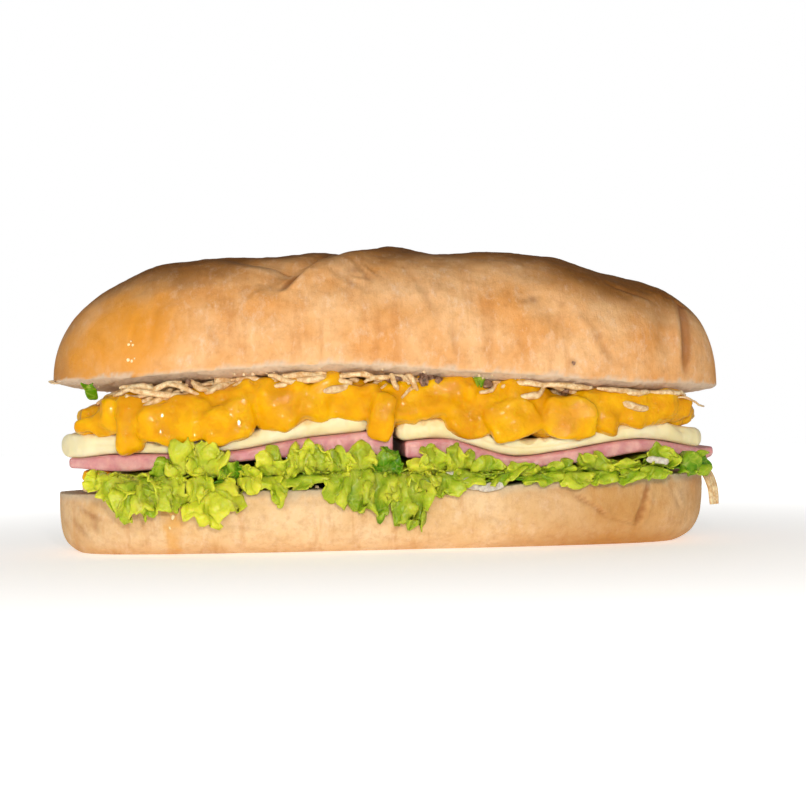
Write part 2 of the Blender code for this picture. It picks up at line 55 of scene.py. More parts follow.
HEEL_HALF_WIDTH = 0.0412
HEEL_LEFT, HEEL_RIGHT = -0.1112, 0.1072
CRUMB_DROP = 0.0030
CRUMB_SWELL = 0.0006
GAP = 0.0005
CROWN_EDGE = [(-0.113, 0.0562), (-0.086, 0.0562), (-0.060, 0.0578), (-0.018, 0.0591),
              (0.014, 0.0570), (0.045, 0.0550), (0.074, 0.0529), (0.113, 0.0525)]
CROWN_RISE = [(-0.113, 0.0472), (-0.080, 0.0460), (-0.045, 0.0402), (0.000, 0.0415),
              (0.046, 0.0442), (0.080, 0.0425), (0.113, 0.0500)]
HEEL_EDGE = [(-0.111, 0.0192), (-0.060, 0.0202), (0.030, 0.0203), (0.050, 0.0218),
             (0.080, 0.0224), (0.107, 0.0232)]

# Under and upper sides of the slices as (x, z)
HAM_UNDER = [(-0.101, 0.0277), (-0.085, 0.0270), (-0.050, 0.0292), (-0.030, 0.0304),
             (0.002, 0.0298), (0.014, 0.0294), (0.030, 0.0263), (0.040, 0.0257),
             (0.060, 0.0275), (0.082, 0.0303), (0.100, 0.0275), (0.106, 0.0284)]
HAM_OVER_LEFT = [(-0.101, 0.0310), (-0.090, 0.0322), (-0.055, 0.0323), (-0.032, 0.0360),
                 (-0.011, 0.0384), (-0.003, 0.0400)]
HAM_OVER_RIGHT = [(0.000, 0.0352), (0.014, 0.0357), (0.026, 0.0320), (0.036, 0.0295),
                  (0.051, 0.0309), (0.077, 0.0341), (0.100, 0.0312), (0.106, 0.0316)]
CHEESE_OVER_LEFT = [(-0.105, 0.0385), (-0.092, 0.0387), (-0.077, 0.0360), (-0.060, 0.0367),
                    (-0.032, 0.0418), (-0.020, 0.0444), (-0.010, 0.0436)]
CHEESE_OVER_RIGHT = [(-0.003, 0.0410), (0.012, 0.0420), (0.021, 0.0380), (0.038, 0.0350),
                     (0.050, 0.0353), (0.065, 0.0378), (0.077, 0.0398), (0.095, 0.0380)]
FRUIT_OVER = [(-0.101, 0.0440), (-0.090, 0.0492), (-0.077, 0.0484), (-0.060, 0.0515),
              (-0.041, 0.0544), (-0.022, 0.0554), (-0.006, 0.0514), (0.011, 0.0530),
              (0.036, 0.0518), (0.050, 0.0482), (0.077, 0.0486), (0.096, 0.0458)]
HAM_LEFT, HAM_RIGHT = (-0.1054, -0.0034), (0.0004, 0.1056)
CHEESE_LEFT, CHEESE_RIGHT = (-0.1085, -0.0104), (-0.0023, 0.1005)
SLICE_HALF_WIDTH = 0.0418
FILLING_REACH = 0.1125
FRUIT_ENDS = (-0.0965, 0.0925)
FRUIT_CORE_HALF = 0.0350
CHICKEN_ENDS = (-0.0860, 0.0840)
CHICKEN_CORE_HALF = 0.0300
OUTER_REACH = 0.0472

# Grooves of the crown as two ends, depth and width. An end is (x, turn), turn going from 0 at
# the front edge over the top to pi at the back edge. The first ones are the long overlapping fold.
FOLD_LIP, CREASE_LIP = 0.45, 0.55
GROOVES = [
    ((-0.041, 0.72), (-0.024, 1.15), 0.0036, 0.0050),
    ((-0.024, 1.15), (0.000, 1.72), 0.0034, 0.0052),
    ((0.000, 1.72), (0.034, 2.25), 0.0028, 0.0052),
    ((-0.052, 1.20), (-0.034, 0.93), 0.0022, 0.0040),
    ((0.089, 0.80), (0.085, 0.04), 0.0024, 0.0042),
    ((0.042, 0.62), (0.054, 0.25), 0.0010, 0.0046),
    ((-0.060, 2.45), (-0.010, 2.75), 0.0016, 0.0050),
    ((0.058, 2.70), (0.082, 2.20), 0.0016, 0.0050)
]

# Fine creases where the crust wrinkled as it cooled, in the same form
CROWN_CREASES = [
    ((-0.0370, 0.62), (-0.0262, 1.02), 0.0024, 0.0012),
    ((-0.0262, 1.02), (-0.0186, 1.45), 0.0026, 0.0012),
    ((-0.0480, 1.12), (-0.0315, 0.86), 0.0012, 0.0010),
    ((-0.0150, 0.98), (-0.0090, 0.66), 0.0006, 0.0009),
    ((-0.0118, 0.92), (-0.0062, 0.72), 0.0005, 0.0008),
    ((-0.0820, 0.52), (-0.0850, 0.16), 0.0004, 0.0012),
    ((-0.0700, 0.46), (-0.0735, 0.10), 0.0003, 0.0012),
    ((-0.0224, 0.82), (-0.0108, 0.55), 0.0004, 0.0013),
    ((-0.0165, 0.74), (-0.0080, 0.70), 0.0003, 0.0012),
    ((0.0030, 0.80), (0.0111, 0.33), 0.0004, 0.0014),
    ((0.0150, 0.31), (0.0163, 0.03), 0.0005, 0.0013),
    ((0.0615, 0.33), (0.0679, 0.04), 0.0004, 0.0014),
    ((0.0641, 0.16), (0.0770, 0.03), 0.0004, 0.0013),
    ((0.0560, 0.48), (0.0640, 0.30), 0.0003, 0.0014),
    ((0.0830, 1.10), (0.1010, 0.92), 0.0006, 0.0016),
    ((0.0700, 0.95), (0.0860, 0.80), 0.0004, 0.0014),
    ((-0.0750, 0.64), (-0.0792, 0.13), 0.0005, 0.0016),
    ((-0.0985, 0.52), (-0.0905, 0.20), 0.0004, 0.0015),
    ((0.0965, 0.95), (0.0935, 0.03), 0.0027, 0.0016),
    ((0.0985, 0.85), (0.0960, 0.20), 0.0005, 0.0014),
    ((-0.0610, 0.30), (-0.0560, 0.05), 0.0003, 0.0016),
    ((0.0360, 0.22), (0.0400, 0.04), 0.0003, 0.0014)
]
# Reddish spots of the crust as x, turn, size and strength
CROWN_SPOTS = [(0.0421, 0.53, 0.0016, 1.0), (0.0395, 0.50, 0.0012, 0.7), (-0.0140, 0.80, 0.0022, 0.7),
               (-0.0095, 0.72, 0.0020, 0.6), (0.0120, 0.62, 0.0022, 0.5),
               (0.0537, 0.07, 0.0011, 1.0)]
# Middle of the dried run of syrup down the heel
HEEL_RUN_X = -0.0722
HEEL_CREASES = [
    ((-0.1037, 0.03), (-0.0937, 0.24), 0.0006, 0.0014),
    ((-0.0980, 0.14), (-0.0962, 0.42), 0.0005, 0.0013),
    ((-0.1050, 0.20), (-0.1000, 0.55), 0.0005, 0.0015),
    ((-0.0475, 0.05), (-0.0175, 0.055), 0.0003, 0.0012),
    ((0.0338, 0.03), (0.0588, 0.035), 0.0003, 0.0012),
    ((0.0540, 0.06), (0.0620, 0.20), 0.0008, 0.0009),
    ((0.0620, 0.20), (0.0655, 0.34), 0.0009, 0.0009),
    ((0.0655, 0.34), (0.0763, 0.50), 0.0004, 0.0009),
    ((0.0805, 0.00), (0.0790, 0.16), 0.0017, 0.0009),
    ((0.0790, 0.16), (0.0768, 0.48), 0.0015, 0.0010),
    ((0.0880, 0.02), (0.0925, 0.30), 0.0004, 0.0010),
    ((0.0240, 0.20), (0.0330, 0.36), 0.0003, 0.0016),
    ((-0.0560, 0.30), (-0.0420, 0.40), 0.0003, 0.0016)
]

# Frills of the lettuce before its front side, in millimetres:
# (root x, root z, tip x, tip z, spread in degrees, half width, folds, fold depth, tone, reach)
# Tone goes from 0, deep green, to 1, pale yellow; the lowest tones are partly painted shade, on frills that
# lie in shade. Reach is how far out the frill stands.
LEFT_FRILLS = [
    (-94.5, 24.4, -98.6, 23.0, 120, 3.0, 3.0, 0.9, 0.95, 43.6),
    (-88.5, 25.6, -90.5, 15.6, 115, 5.6, 4.2, 1.5, 0.66, 45.0),
    (-84.0, 25.2, -84.6, 12.2, 110, 5.8, 4.6, 1.6, 0.62, 45.8),
    (-77.8, 25.0, -77.4, 12.0, 110, 5.2, 4.4, 1.6, 0.48, 46.0),
    (-73.6, 25.0, -71.4, 16.2, 115, 4.6, 4.0, 1.5, 0.60, 45.4),
    (-81.5, 24.0, -82.0, 20.5, 120, 6.0, 4.4, 1.4, 0.40, 45.2),
    (-75.0, 25.4, -76.4, 31.2, 110, 3.4, 3.0, 1.2, 0.08, 44.4),
    (-67.6, 26.0, -69.0, 35.8, 105, 4.8, 4.0, 1.5, 0.62, 45.0),
    (-61.6, 26.0, -60.6, 36.2, 105, 5.2, 4.2, 1.6, 0.66, 45.4),
    (-64.8, 24.8, -62.8, 17.6, 95, 4.0, 3.2, 1.4, 0.70, 45.4),
    (-61.6, 21.0, -57.0, 10.6, 120, 8.4, 6.2, 1.9, 0.84, 46.2),
    (-54.4, 24.2, -53.8, 29.2, 110, 3.8, 3.4, 1.3, 0.10, 44.6),
    (-48.4, 25.0, -47.4, 19.8, 120, 3.4, 3.4, 1.2, 0.86, 45.2),
    (-48.8, 24.8, -48.0, 28.0, 120, 3.0, 3.0, 1.1, 0.80, 45.0)
]
MIDDLE_FRILLS = [
    (-41.4, 25.2, -42.4, 33.6, 100, 4.0, 3.4, 1.4, 0.62, 45.2),
    (-37.4, 25.0, -37.0, 30.4, 110, 3.6, 3.2, 1.3, 0.50, 45.0),
    (-43.0, 24.4, -43.2, 20.6, 120, 4.6, 4.0, 1.3, 0.60, 45.0),
    (-39.6, 23.6, -38.4, 15.6, 90, 2.4, 2.4, 1.2, 0.58, 45.4),
    (-31.8, 26.0, -32.6, 35.4, 105, 4.4, 3.8, 1.5, 0.60, 45.0),
    (-26.6, 25.6, -26.2, 33.2, 105, 4.2, 3.6, 1.5, 0.50, 45.0),
    (-31.0, 25.0, -30.4, 20.6, 120, 6.0, 4.6, 1.4, 0.40, 45.0),
    (-19.6, 26.0, -20.4, 33.4, 110, 4.4, 3.6, 1.5, 0.56, 45.2),
    (-13.8, 26.0, -13.0, 33.4, 110, 4.4, 3.6, 1.5, 0.64, 45.4),
    (-15.6, 27.0, -15.8, 12.2, 105, 5.8, 4.8, 1.8, 0.44, 46.2),
    (-9.2, 26.0, -8.4, 13.2, 105, 5.0, 4.4, 1.7, 0.40, 45.8),
    (-21.6, 25.6, -22.0, 18.6, 115, 4.0, 3.6, 1.4, 0.52, 45.4),
    (-5.4, 25.4, -5.2, 32.6, 105, 4.4, 3.6, 1.3, 0.04, 43.8),
    (0.6, 25.0, 1.6, 7.9, 100, 6.0, 5.2, 1.8, 0.44, 46.2),
    (-3.0, 24.4, -3.8, 15.0, 110, 4.0, 3.6, 1.6, 0.52, 45.2),
    (4.6, 25.2, 5.0, 28.6, 120, 4.0, 3.2, 1.4, 0.86, 45.8),
    (9.6, 25.4, 8.8, 32.8, 110, 4.2, 3.6, 1.5, 0.50, 45.2),
    (13.2, 24.8, 12.8, 17.6, 115, 5.4, 4.6, 1.6, 0.48, 45.8),
    (6.6, 24.6, 6.8, 18.4, 115, 4.4, 4.0, 1.5, 0.46, 45.2)
]
RIGHT_FRILLS = [
    (17.2, 25.6, 17.4, 33.0, 105, 4.0, 3.4, 1.4, 0.55, 45.2),
    (20.4, 25.2, 19.6, 20.4, 115, 4.4, 4.0, 1.5, 0.42, 45.0),
    (26.4, 25.0, 26.2, 29.6, 115, 4.4, 4.0, 1.3, 0.45, 45.0),
    (31.6, 24.4, 33.0, 21.4, 120, 5.0, 4.4, 1.3, 0.40, 44.8),
    (37.0, 24.2, 37.2, 27.6, 120, 5.0, 4.2, 1.2, 0.46, 44.8),
    (43.0, 24.2, 43.6, 20.4, 120, 5.6, 4.8, 1.3, 0.38, 44.8),
    (49.0, 24.6, 48.6, 28.0, 120, 5.0, 4.4, 1.2, 0.42, 44.8),
    (54.0, 24.6, 54.2, 19.6, 120, 5.0, 4.6, 1.4, 0.48, 45.2),
    (60.4, 25.4, 61.0, 30.6, 115, 4.8, 4.0, 1.4, 0.52, 45.0),
    (63.4, 24.8, 64.4, 20.8, 120, 5.4, 4.6, 1.3, 0.40, 44.8),
    (69.8, 25.0, 69.6, 28.4, 120, 5.0, 4.2, 1.3, 0.48, 44.8),
    (73.6, 25.0, 74.0, 21.2, 120, 4.6, 4.2, 1.3, 0.38, 44.6),
    (82.4, 26.2, 83.6, 33.6, 105, 4.4, 3.6, 1.4, 0.42, 44.6),
    (80.4, 25.8, 80.0, 22.0, 115, 4.2, 3.6, 1.2, 0.30, 44.4),
    (89.6, 26.8, 94.4, 25.6, 110, 3.4, 3.0, 1.1, 0.06, 42.6),
    (93.6, 26.8, 99.8, 25.4, 110, 3.0, 2.8, 1.1, 0.10, 38.0)
]
FRILL_COLUMNS, FRILL_ROWS = 56, 14
STACK_COLUMNS, STACK_ROWS = 44, 18
STACK_LEVELS = (-0.75, -0.3, 0.15, 0.6)
LEAF_THICKNESS = 0.00045
DICE_SKIN_STEP = 0.00082
DICE_SWELL = (1.17, 1.13)
# Middle line of the strip that hangs over the right end
STRIP = ((0.0925, -0.0170, 0.0254), (0.0975, -0.0205, 0.0256), (0.1022, -0.0240, 0.0242),
         (0.1046, -0.0258, 0.0187), (0.1050, -0.0265, 0.0125))

# Leaves as the x of both ends at the hem, how far each end bows out, and the frill's phase
LEAF_STACK_HALF = 0.0405
LEAF_WAVE = 0.0155
LEAVES = {"lettuce_left": (-0.0905, -0.0455, 0.0010, 0.0006, 0.3, LEFT_FRILLS),
          "lettuce_middle": (-0.0440, 0.0105, -0.0010, 0.0010, 1.7, MIDDLE_FRILLS),
          "lettuce_right": (0.0232, 0.0945, 0.0008, 0.0000, 2.6, RIGHT_FRILLS)}

# Dice of fruit that show in front, in millimetres: (x, z of the middle, width, height, hangs)
FRONT_DICE = [
    (-97.0, 41.6, 9.0, 4.4, False), (-89.4, 45.0, 9.5, 10.0, False),
    (-84.7, 41.0, 8.4, 15.4, True), (-74.7, 40.6, 13.4, 10.4, True),
    (-77.6, 47.2, 9.0, 5.5, False), (-66.7, 43.2, 13.5, 12.0, True),
    (-59.2, 48.2, 10.0, 8.4, False), (-54.7, 41.4, 14.0, 10.6, True),
    (-46.8, 48.6, 15.0, 10.4, False), (-38.7, 45.4, 14.0, 11.6, False),
    (-29.0, 47.2, 11.4, 10.0, False), (-24.0, 51.8, 11.0, 8.4, False),
    (-16.9, 48.2, 11.4, 10.6, False), (-6.8, 42.4, 7.6, 12.0, True),
    (-1.6, 46.2, 12.0, 11.4, False), (4.6, 47.4, 7.4, 9.0, False),
    (10.4, 48.2, 8.8, 10.4, False), (14.6, 51.8, 12.0, 6.6, False),
    (20.4, 41.2, 13.0, 9.4, False), (24.6, 47.0, 10.0, 9.6, False),
    (38.4, 48.6, 16.0, 8.4, False), (34.3, 41.2, 15.0, 11.6, True),
    (44.6, 41.6, 9.6, 10.0, False), (52.6, 41.4, 14.4, 12.6, True),
    (63.4, 41.2, 12.0, 7.4, False), (67.6, 46.0, 11.0, 8.0, False),
    (58.8, 46.6, 9.0, 6.4, False), (81.3, 44.2, 15.0, 9.4, False),
    (73.6, 42.6, 10.0, 7.6, False), (90.6, 45.0, 7.0, 6.4, False)
]


# Drops of syrup, pale so that they also stand for painted highlights: on the crust as (x in mm, turn, size in
# mm), on the heel as (x, z, size) in mm
CROWN_DROPS = [(-85.2, 0.232, 0.9), (-83.9, 0.222, 0.8), (-84.5, 0.258, 0.5), (-85.4, 0.108, 1.0),
               (-84.2, 0.096, 0.9), (-83.3, 0.112, 0.5)]
HEEL_DROPS = [(-72.0, 12.6, 1.0), (-72.9, 9.4, 0.6)]

# Bold shreds before the filling as (x, z) of both ends and radius, in millimetres
FRONT_SHREDS = [
    ((-88.0, 54.6), (-72.0, 50.6), 0.95), ((-84.0, 50.4), (-69.0, 54.2), 0.90),
    ((-76.0, 53.8), (-63.0, 50.8), 0.85), ((-66.0, 54.8), (-60.0, 50.6), 0.90),
    ((-90.0, 51.2), (-78.0, 53.8), 0.80), ((-42.0, 56.0), (-31.0, 53.6), 0.90),
    ((-20.0, 56.2), (-7.0, 54.6), 0.95), ((-12.0, 53.4), (-3.0, 56.2), 0.80),
    ((-4.0, 56.4), (-1.6, 50.6), 0.90), ((1.0, 56.2), (4.6, 51.4), 0.95),
    ((34.0, 54.4), (46.0, 53.0), 0.90), ((48.0, 52.6), (60.0, 51.4), 1.00),
    ((44.0, 51.4), (56.0, 53.0), 0.85), ((70.0, 47.6), (80.0, 51.2), 0.90),
    ((80.0, 51.2), (93.0, 48.6), 0.85), ((62.0, 52.4), (76.0, 52.6), 0.85),
    ((88.0, 47.6), (101.0, 45.6), 0.38)
]

# Bits of leaf as frills of their own, with the solid that each belongs to
SMALL_LEAVES = [("herb_bit", "shredded_chicken",
                 (-97.2, 53.6, -96.8, 50.2, 110, 1.7, 2.2, 0.7, -0.20, 37.0)),
                ("lettuce_bit_upper", "shredded_chicken",
                 (23.6, 55.4, 24.4, 51.0, 110, 1.7, 2.0, 0.7, 0.20, 44.0))]
# Dark bits as the x of a stretch and their number, the range of their sizes, and one on the crust
DARK_BIT_RUNS = ((-0.005, 0.018, 9), (0.024, 0.036, 6), (-0.080, 0.080, 8))
BIT_SIZES = ((0.0024, 0.0056), (0.0012, 0.0024), (0.0012, 0.0028))
CROWN_SPECK = (0.0537, 0.07)
# Lumps listed one by one, each as its place, turn and size
CRUST_FLAKES = [((-0.1122, -0.0060, 0.0562), (0.0, 0.15, 0.2), (0.0042, 0.0050, 0.0008)),
                ((-0.1112, -0.0130, 0.0556), (0.1, 0.05, 0.5), (0.0030, 0.0040, 0.0007))]
ONION_BITS = [((0.0212, -0.0438, 0.0214), (0.15, 0.25, 0.1), (0.0066, 0.0014, 0.0036)),
              ((0.0272, -0.0434, 0.0203), (0.10, -0.12, 0.1), (0.0082, 0.0012, 0.0028))]
PALE_BITS = [((0.0806, -0.0444, 0.0278), (0.3, 0.12, 0.1), (0.0074, 0.0016, 0.0023))]


def line(points, x):
    """Height of the smooth curve through the (x, z) points, level past both ends."""
    xs, zs = np.array(points).T
    x = np.clip(x, xs[0], xs[-1])
    i = np.clip(np.searchsorted(xs, x, side="right") - 1, 0, len(xs) - 2)
    before = np.maximum(i - 1, 0)
    after = np.minimum(i + 2, len(xs) - 1)
    slope0 = (zs[i + 1] - zs[before]) / (xs[i + 1] - xs[before])
    slope1 = (zs[after] - zs[i]) / (xs[after] - xs[i])
    width = xs[i + 1] - xs[i]
    t = (x - xs[i]) / width
    return ((1 + 2 * t) * (1 - t) ** 2 * zs[i] + t * (1 - t) ** 2 * width * slope0
            + t * t * (3 - 2 * t) * zs[i + 1] + t * t * (t - 1) * width * slope1)


def signed_power(value, power):
    return np.sign(value) * np.abs(value) ** power


def step_up(low, high, value):
    """Smooth rise from 0 at low to 1 at high."""
    t = np.clip((value - low) / (high - low), 0.0, 1.0)
    return t * t * (3 - 2 * t)


def round_end(x, reach, power, root):
    """Share of its full size that a form keeps at x, rounding off towards its reach."""
    return np.maximum(0.0, 1 - np.abs(x / reach) ** power) ** (1 / root)


def filling_half(x, full):
    """Half width at x of a filling layer that is full wide in the middle."""
    return full * round_end(x, FILLING_REACH, 5.0, 2.5)


def crown_half(x):
    """Half width of the crown at x."""
    return CROWN_HALF_WIDTH * round_end(x, CROWN_HALF_LENGTH, 3.4, 2.3)


def crown_height_share(x):
    """Share of its full height that the crown keeps at x."""
    return round_end(x, CROWN_HALF_LENGTH, np.where(x < 0, 2.8, 4.0), 2.2)


def heel_along(x):
    """The heel's length from -1 at its left end to 1 at its right end."""
    return (x - 0.5 * (HEEL_LEFT + HEEL_RIGHT)) / (0.5 * (HEEL_RIGHT - HEEL_LEFT))


def heel_half(x):
    """Half width of the heel at x."""
    return HEEL_HALF_WIDTH * round_end(np.clip(heel_along(x), -1, 1), 1.0, 3.6, 2.4)


def settle(x, y):
    """Small shared waves of the stacked layers, so that no layer lies dead flat."""
    crown = 0.0009 * (1 - (y / SLICE_HALF_WIDTH) ** 2)
    return crown + 0.0004 * np.sin(61 * x + 1.0) * np.sin(74 * y + 0.6)


def crumb_face(x, y):
    """Height of the crown's cut face, which hangs below its crust edge."""
    across = np.minimum(1.0, np.abs(y) / CROWN_HALF_WIDTH) ** 10
    along = np.minimum(1.0, np.abs(x) / CROWN_HALF_LENGTH) ** 12
    return line(CROWN_EDGE, x) - CRUMB_DROP * (1 - across) * (1 - along)


def heel_face(x):
    """Height of the heel's cut face, which swells a little above its crust edge."""
    return line(HEEL_EDGE, x) + CRUMB_SWELL


def slices_over(x):
    """Upper side of the ham and cheese at x."""
    middle = 0.5 * (HAM_LEFT[1] + HAM_RIGHT[0])
    highest = np.where(x < middle, line(HAM_OVER_LEFT, x), line(HAM_OVER_RIGHT, x))
    for (left, right), over in ((CHEESE_LEFT, CHEESE_OVER_LEFT), (CHEESE_RIGHT, CHEESE_OVER_RIGHT)):
        covered = (x > left - GAP) & (x < right + GAP)
        highest = np.where(covered, np.maximum(highest, line(over, x)), highest)
    return highest


def fruit_floor(x, y, reach):
    """Lowest that fruit may reach at (x, y), clear of every slice within reach along the roll."""
    steps = (-1.0, -0.6, -0.3, 0.0, 0.3, 0.6, 1.0)
    tops = [slices_over(x + reach * step) for step in steps]
    return np.max(tops, axis=0) + GAP + settle(x, y)


def fruit_roof(x, y):
    """Highest that fruit may reach at (x, y)."""
    return np.minimum(line(FRUIT_OVER, x), crumb_face(x, y) - GAP)


GRADIENTS = np.random.default_rng(5).normal(size=(256, 3))
GRADIENTS /= np.linalg.norm(GRADIENTS, axis=1, keepdims=True)
SHUFFLE = np.random.default_rng(6).permutation(256)


def noise(points, size, seed=0):
    """Smooth noise from about -1 to 1 at points, in lumps of that size in metres."""
    scaled = np.asarray(points, float) / size + 19.7 * seed
    cell = np.floor(scaled).astype(int)
    inside = scaled - cell
    fade = inside ** 3 * (inside * (inside * 6 - 15) + 10)
    total = np.zeros(scaled.shape[:-1])
    for corner in itertools.product((0, 1), repeat=3):
        at = (cell + corner) & 255
        pick = SHUFFLE[(SHUFFLE[(SHUFFLE[at[..., 0]] + at[..., 1]) & 255] + at[..., 2]) & 255]
        weight = np.prod(np.where(np.array(corner) == 1, fade, 1 - fade), axis=-1)
        total += weight * np.sum(GRADIENTS[pick] * (inside - corner), axis=-1)
    return 1.6 * total


def rough(points, size, seed=0, octaves=3):
    """Noise with finer noise on it."""
    return sum(0.5 ** k * noise(points, size * 0.5 ** k, seed + k) for k in range(octaves))


def stack(x, y, z):
    """Points from three arrays of coordinates of one shape."""
    return np.stack(np.broadcast_arrays(x, y, z), axis=-1)


def mesh_object(name, points, faces):
    """A smooth mesh object from points and faces."""
    mesh = bpy.data.meshes.new(name)
    mesh.from_pydata(np.asarray(points).reshape(-1, 3).tolist(), [], [list(face) for face in faces])
    mesh.shade_smooth()
    obj = bpy.data.objects.new(name, mesh)
    bpy.context.scene.collection.objects.link(obj)
    return obj


def paint(obj, name, values):
    """Store one number for each point, which the material reads by name."""
    layer = obj.data.attributes.new(name, "FLOAT", "POINT")
    layer.data.foreach_set("value", np.asarray(values, np.float32).ravel())


def place(obj, material, node, slot):
    """Give a piece its finish and its body, and hide the solid that it stands for."""
    obj.data.materials.clear()
    obj.data.materials.append(material)
    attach(obj, "root")
    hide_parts(node)


def lofted_faces(count, around):
    """Faces of a skin through rings, closed to a point at both ends. Point 0 is the first end."""
    index = np.arange(count * around).reshape(count, around) + 1
    beside = np.roll(index, -1, axis=1)
    quads = np.stack([index[:-1], index[1:], beside[1:], beside[:-1]], axis=-1).reshape(-1, 4)
    last = count * around + 1
    first_fan = [(0, a, b) for a, b in zip(index[0].tolist(), beside[0].tolist())]
    last_fan = [(last, b, a) for a, b in zip(index[-1].tolist(), beside[-1].tolist())]
    return quads.tolist() + first_fan + last_fan


def box_grid(across, deep, tall):
    """Points from -1 to 1 on a box, at the given steps along each axis, and its faces."""
    steps = [np.asarray(values) for values in (across, deep, tall)]
    sizes = [len(values) for values in steps]
    found = {}
    faces = []

    def at(i, j, k):
        return found.setdefault((i, j, k), len(found))

    for axis in range(3):
        first, second = (axis + 1) % 3, (axis + 2) % 3
        for end in (0, sizes[axis] - 1):
            for a in range(sizes[first] - 1):
                for b in range(sizes[second] - 1):
                    ring = []
                    for da, db in ((0, 0), (1, 0), (1, 1), (0, 1)):
                        corner = [0, 0, 0]
                        corner[axis] = end
                        corner[first] = a + da
                        corner[second] = b + db
                        ring.append(at(*corner))
                    faces.append(ring if end else ring[::-1])
    points = np.array([[steps[0][i], steps[1][j], steps[2][k]] for i, j, k in found])
    return points, faces


def dense_ends(count, power=1.7):
    """Steps from -1 to 1 that lie closer together towards both ends."""
    even = np.linspace(-1, 1, count)
    return np.sign(even) * (1 - (1 - np.abs(even)) ** power)


def groove_push(x, turn, lines, lip):
    """Inward push at (x, turn) of the grooves, each with a raised lip along its right-hand side."""
    total = np.zeros(np.broadcast(x, turn).shape)
    for start, end, depth, width in lines:
        along = np.array([end[0] - start[0], (end[1] - start[1]) * CROWN_HALF_WIDTH])
        off_x = x - start[0]
        off_turn = (turn - start[1]) * CROWN_HALF_WIDTH
        length = along @ along
        share = np.clip((off_x * along[0] + off_turn * along[1]) / length, 0, 1)
        away_x = off_x - along[0] * share
        away_turn = off_turn - along[1] * share
        distance = np.hypot(away_x, away_turn) / width
        side = np.sign(along[0] * away_turn - along[1] * away_x)
        fade = np.sin(math.pi * (0.12 + 0.76 * share))
        ridge = lip * np.exp(-((side * distance + 1.7) / 1.1) ** 2)
        total += depth * fade * (np.exp(-distance ** 2) - ridge)
    return total


def crown_creases(x, turn):
    """Inward push of the crown's fine creases, fading out at the crust's edge."""
    push = groove_push(x, turn, CROWN_CREASES, CREASE_LIP)
    return push * np.minimum(1.0, 5 * np.maximum(np.sin(turn), 0.0))


def crown_points(x, turn):
    """Points of the roll's upper half, turn below 0 being its cut face."""
    half = crown_half(x)
    edge = line(CROWN_EDGE, x)
    share = crown_height_share(x)
    crust = np.maximum(np.sin(turn), 0.0)
    y = -half * np.where(turn < 0, np.cos(turn), signed_power(np.cos(turn), 2 / 2.35))
    spread = CROWN_HALF_WIDTH / np.maximum(half, 0.001)
    cut = crumb_face(x, y * spread)
    dome = edge + line(CROWN_RISE, x) * share * crust ** (2 / 2.35)
    point = stack(x, y, np.where(turn < 0, cut, dome))
    outward = point - stack(x, 0.0 * y, edge + 0.010)
    outward /= np.linalg.norm(outward, axis=-1, keepdims=True)
    lumps = 0.0007 * np.sin(130 * x + 2 * turn) * np.sin(95 * x - turn + 1.0) * crust
    push = groove_push(x, turn, GROOVES, FOLD_LIP) * np.minimum(1.0, 3 * crust)
    fine = crown_creases(x, turn)
    skin = 0.00034 * rough(point, 0.0085, 1) + 0.00005 * rough(point, 0.0016, 4, 2)
    skin += 0.00055 * noise(point * [1.0, 1.0, 0.5], 0.0210, 9)
    skin += 0.00016 * np.minimum(0.0, noise(point * [1.0, 1.0, 0.35], 0.0040, 8))
    skin *= step_up(0.0, 0.10, crust)
    point = point + outward * ((lumps - push - fine + skin) * share)[..., None]
    rim = np.exp(-(np.sin(turn) / 0.10) ** 2) * np.abs(np.cos(turn)) * share
    point[..., 2] += rim * (0.0007 * noise(point, 0.011, 16) + 0.00035 * noise(point, 0.0035, 17))
    torn = (turn < 0) * step_up(0.0, 0.25, np.abs(np.sin(turn))) * share
    point[..., 2] += torn * (0.00055 * rough(point, 0.0022, 12) + 0.0004 * noise(point, 0.007, 15))
    return point


def heel_points(along, turn):
    """Points of the roll's lower half, turn below 0 being its cut face."""
    x = 0.5 * (HEEL_LEFT + HEEL_RIGHT) + 0.5 * (HEEL_RIGHT - HEEL_LEFT) * along
    half = HEEL_HALF_WIDTH * round_end(along, 1.0, 3.6, 2.4)
    edge = line(HEEL_EDGE, x)
    crust = np.maximum(np.sin(turn), 0.0)
    depth = 1.10 * edge * round_end(along, 1.0, np.where(along < 0, 20.0, 13.0), 3.2)
    y = -half * np.where(turn < 0, np.cos(turn), signed_power(np.cos(turn), 2 / 3.6))
    low = np.maximum(0.0, edge - depth * crust ** (2 / 3.3))
    cut = edge + CRUMB_SWELL * np.abs(np.sin(turn)) ** 0.5
    point = stack(x, y, np.where(turn < 0, cut, low))
    free = step_up(0.0006, 0.0040, point[..., 2]) * round_end(along, 1.0, 20.0, 2.0)
    outward = point * [0.35, 1.0, 0.6] - stack(0 * x, 0 * y, 0.5 * edge)
    outward /= np.linalg.norm(outward, axis=-1, keepdims=True)
    fine = groove_push(x, turn, HEEL_CREASES, CREASE_LIP) * np.minimum(1.0, 5 * crust)
    skin = 0.00028 * rough(point, 0.0070, 21) + 0.00009 * rough(point, 0.0018, 24, 2)
    skin *= step_up(0.0, 0.10, crust)
    knob = 0.0012 * np.exp(-((x - 0.0888) / 0.0060) ** 2 - ((turn - 0.20) / 0.30) ** 2)
    point = point + outward * ((skin - fine + knob * (turn > 0)) * free)[..., None]
    rim = np.exp(-(np.sin(turn) / 0.10) ** 2) * np.abs(np.cos(turn)) * round_end(along, 1.0, 8.0, 2.0)
    point[..., 2] -= rim * np.abs(0.0009 * noise(point, 0.012, 28) + 0.0004 * noise(point, 0.0035, 29))
    torn = (turn < 0) * step_up(0.0, 0.2, np.abs(np.sin(turn))) * round_end(along, 1.0, 8.0, 2.0)
    point[..., 2] -= torn * np.abs(0.00045 * rough(point, 0.0022, 27))
    return point


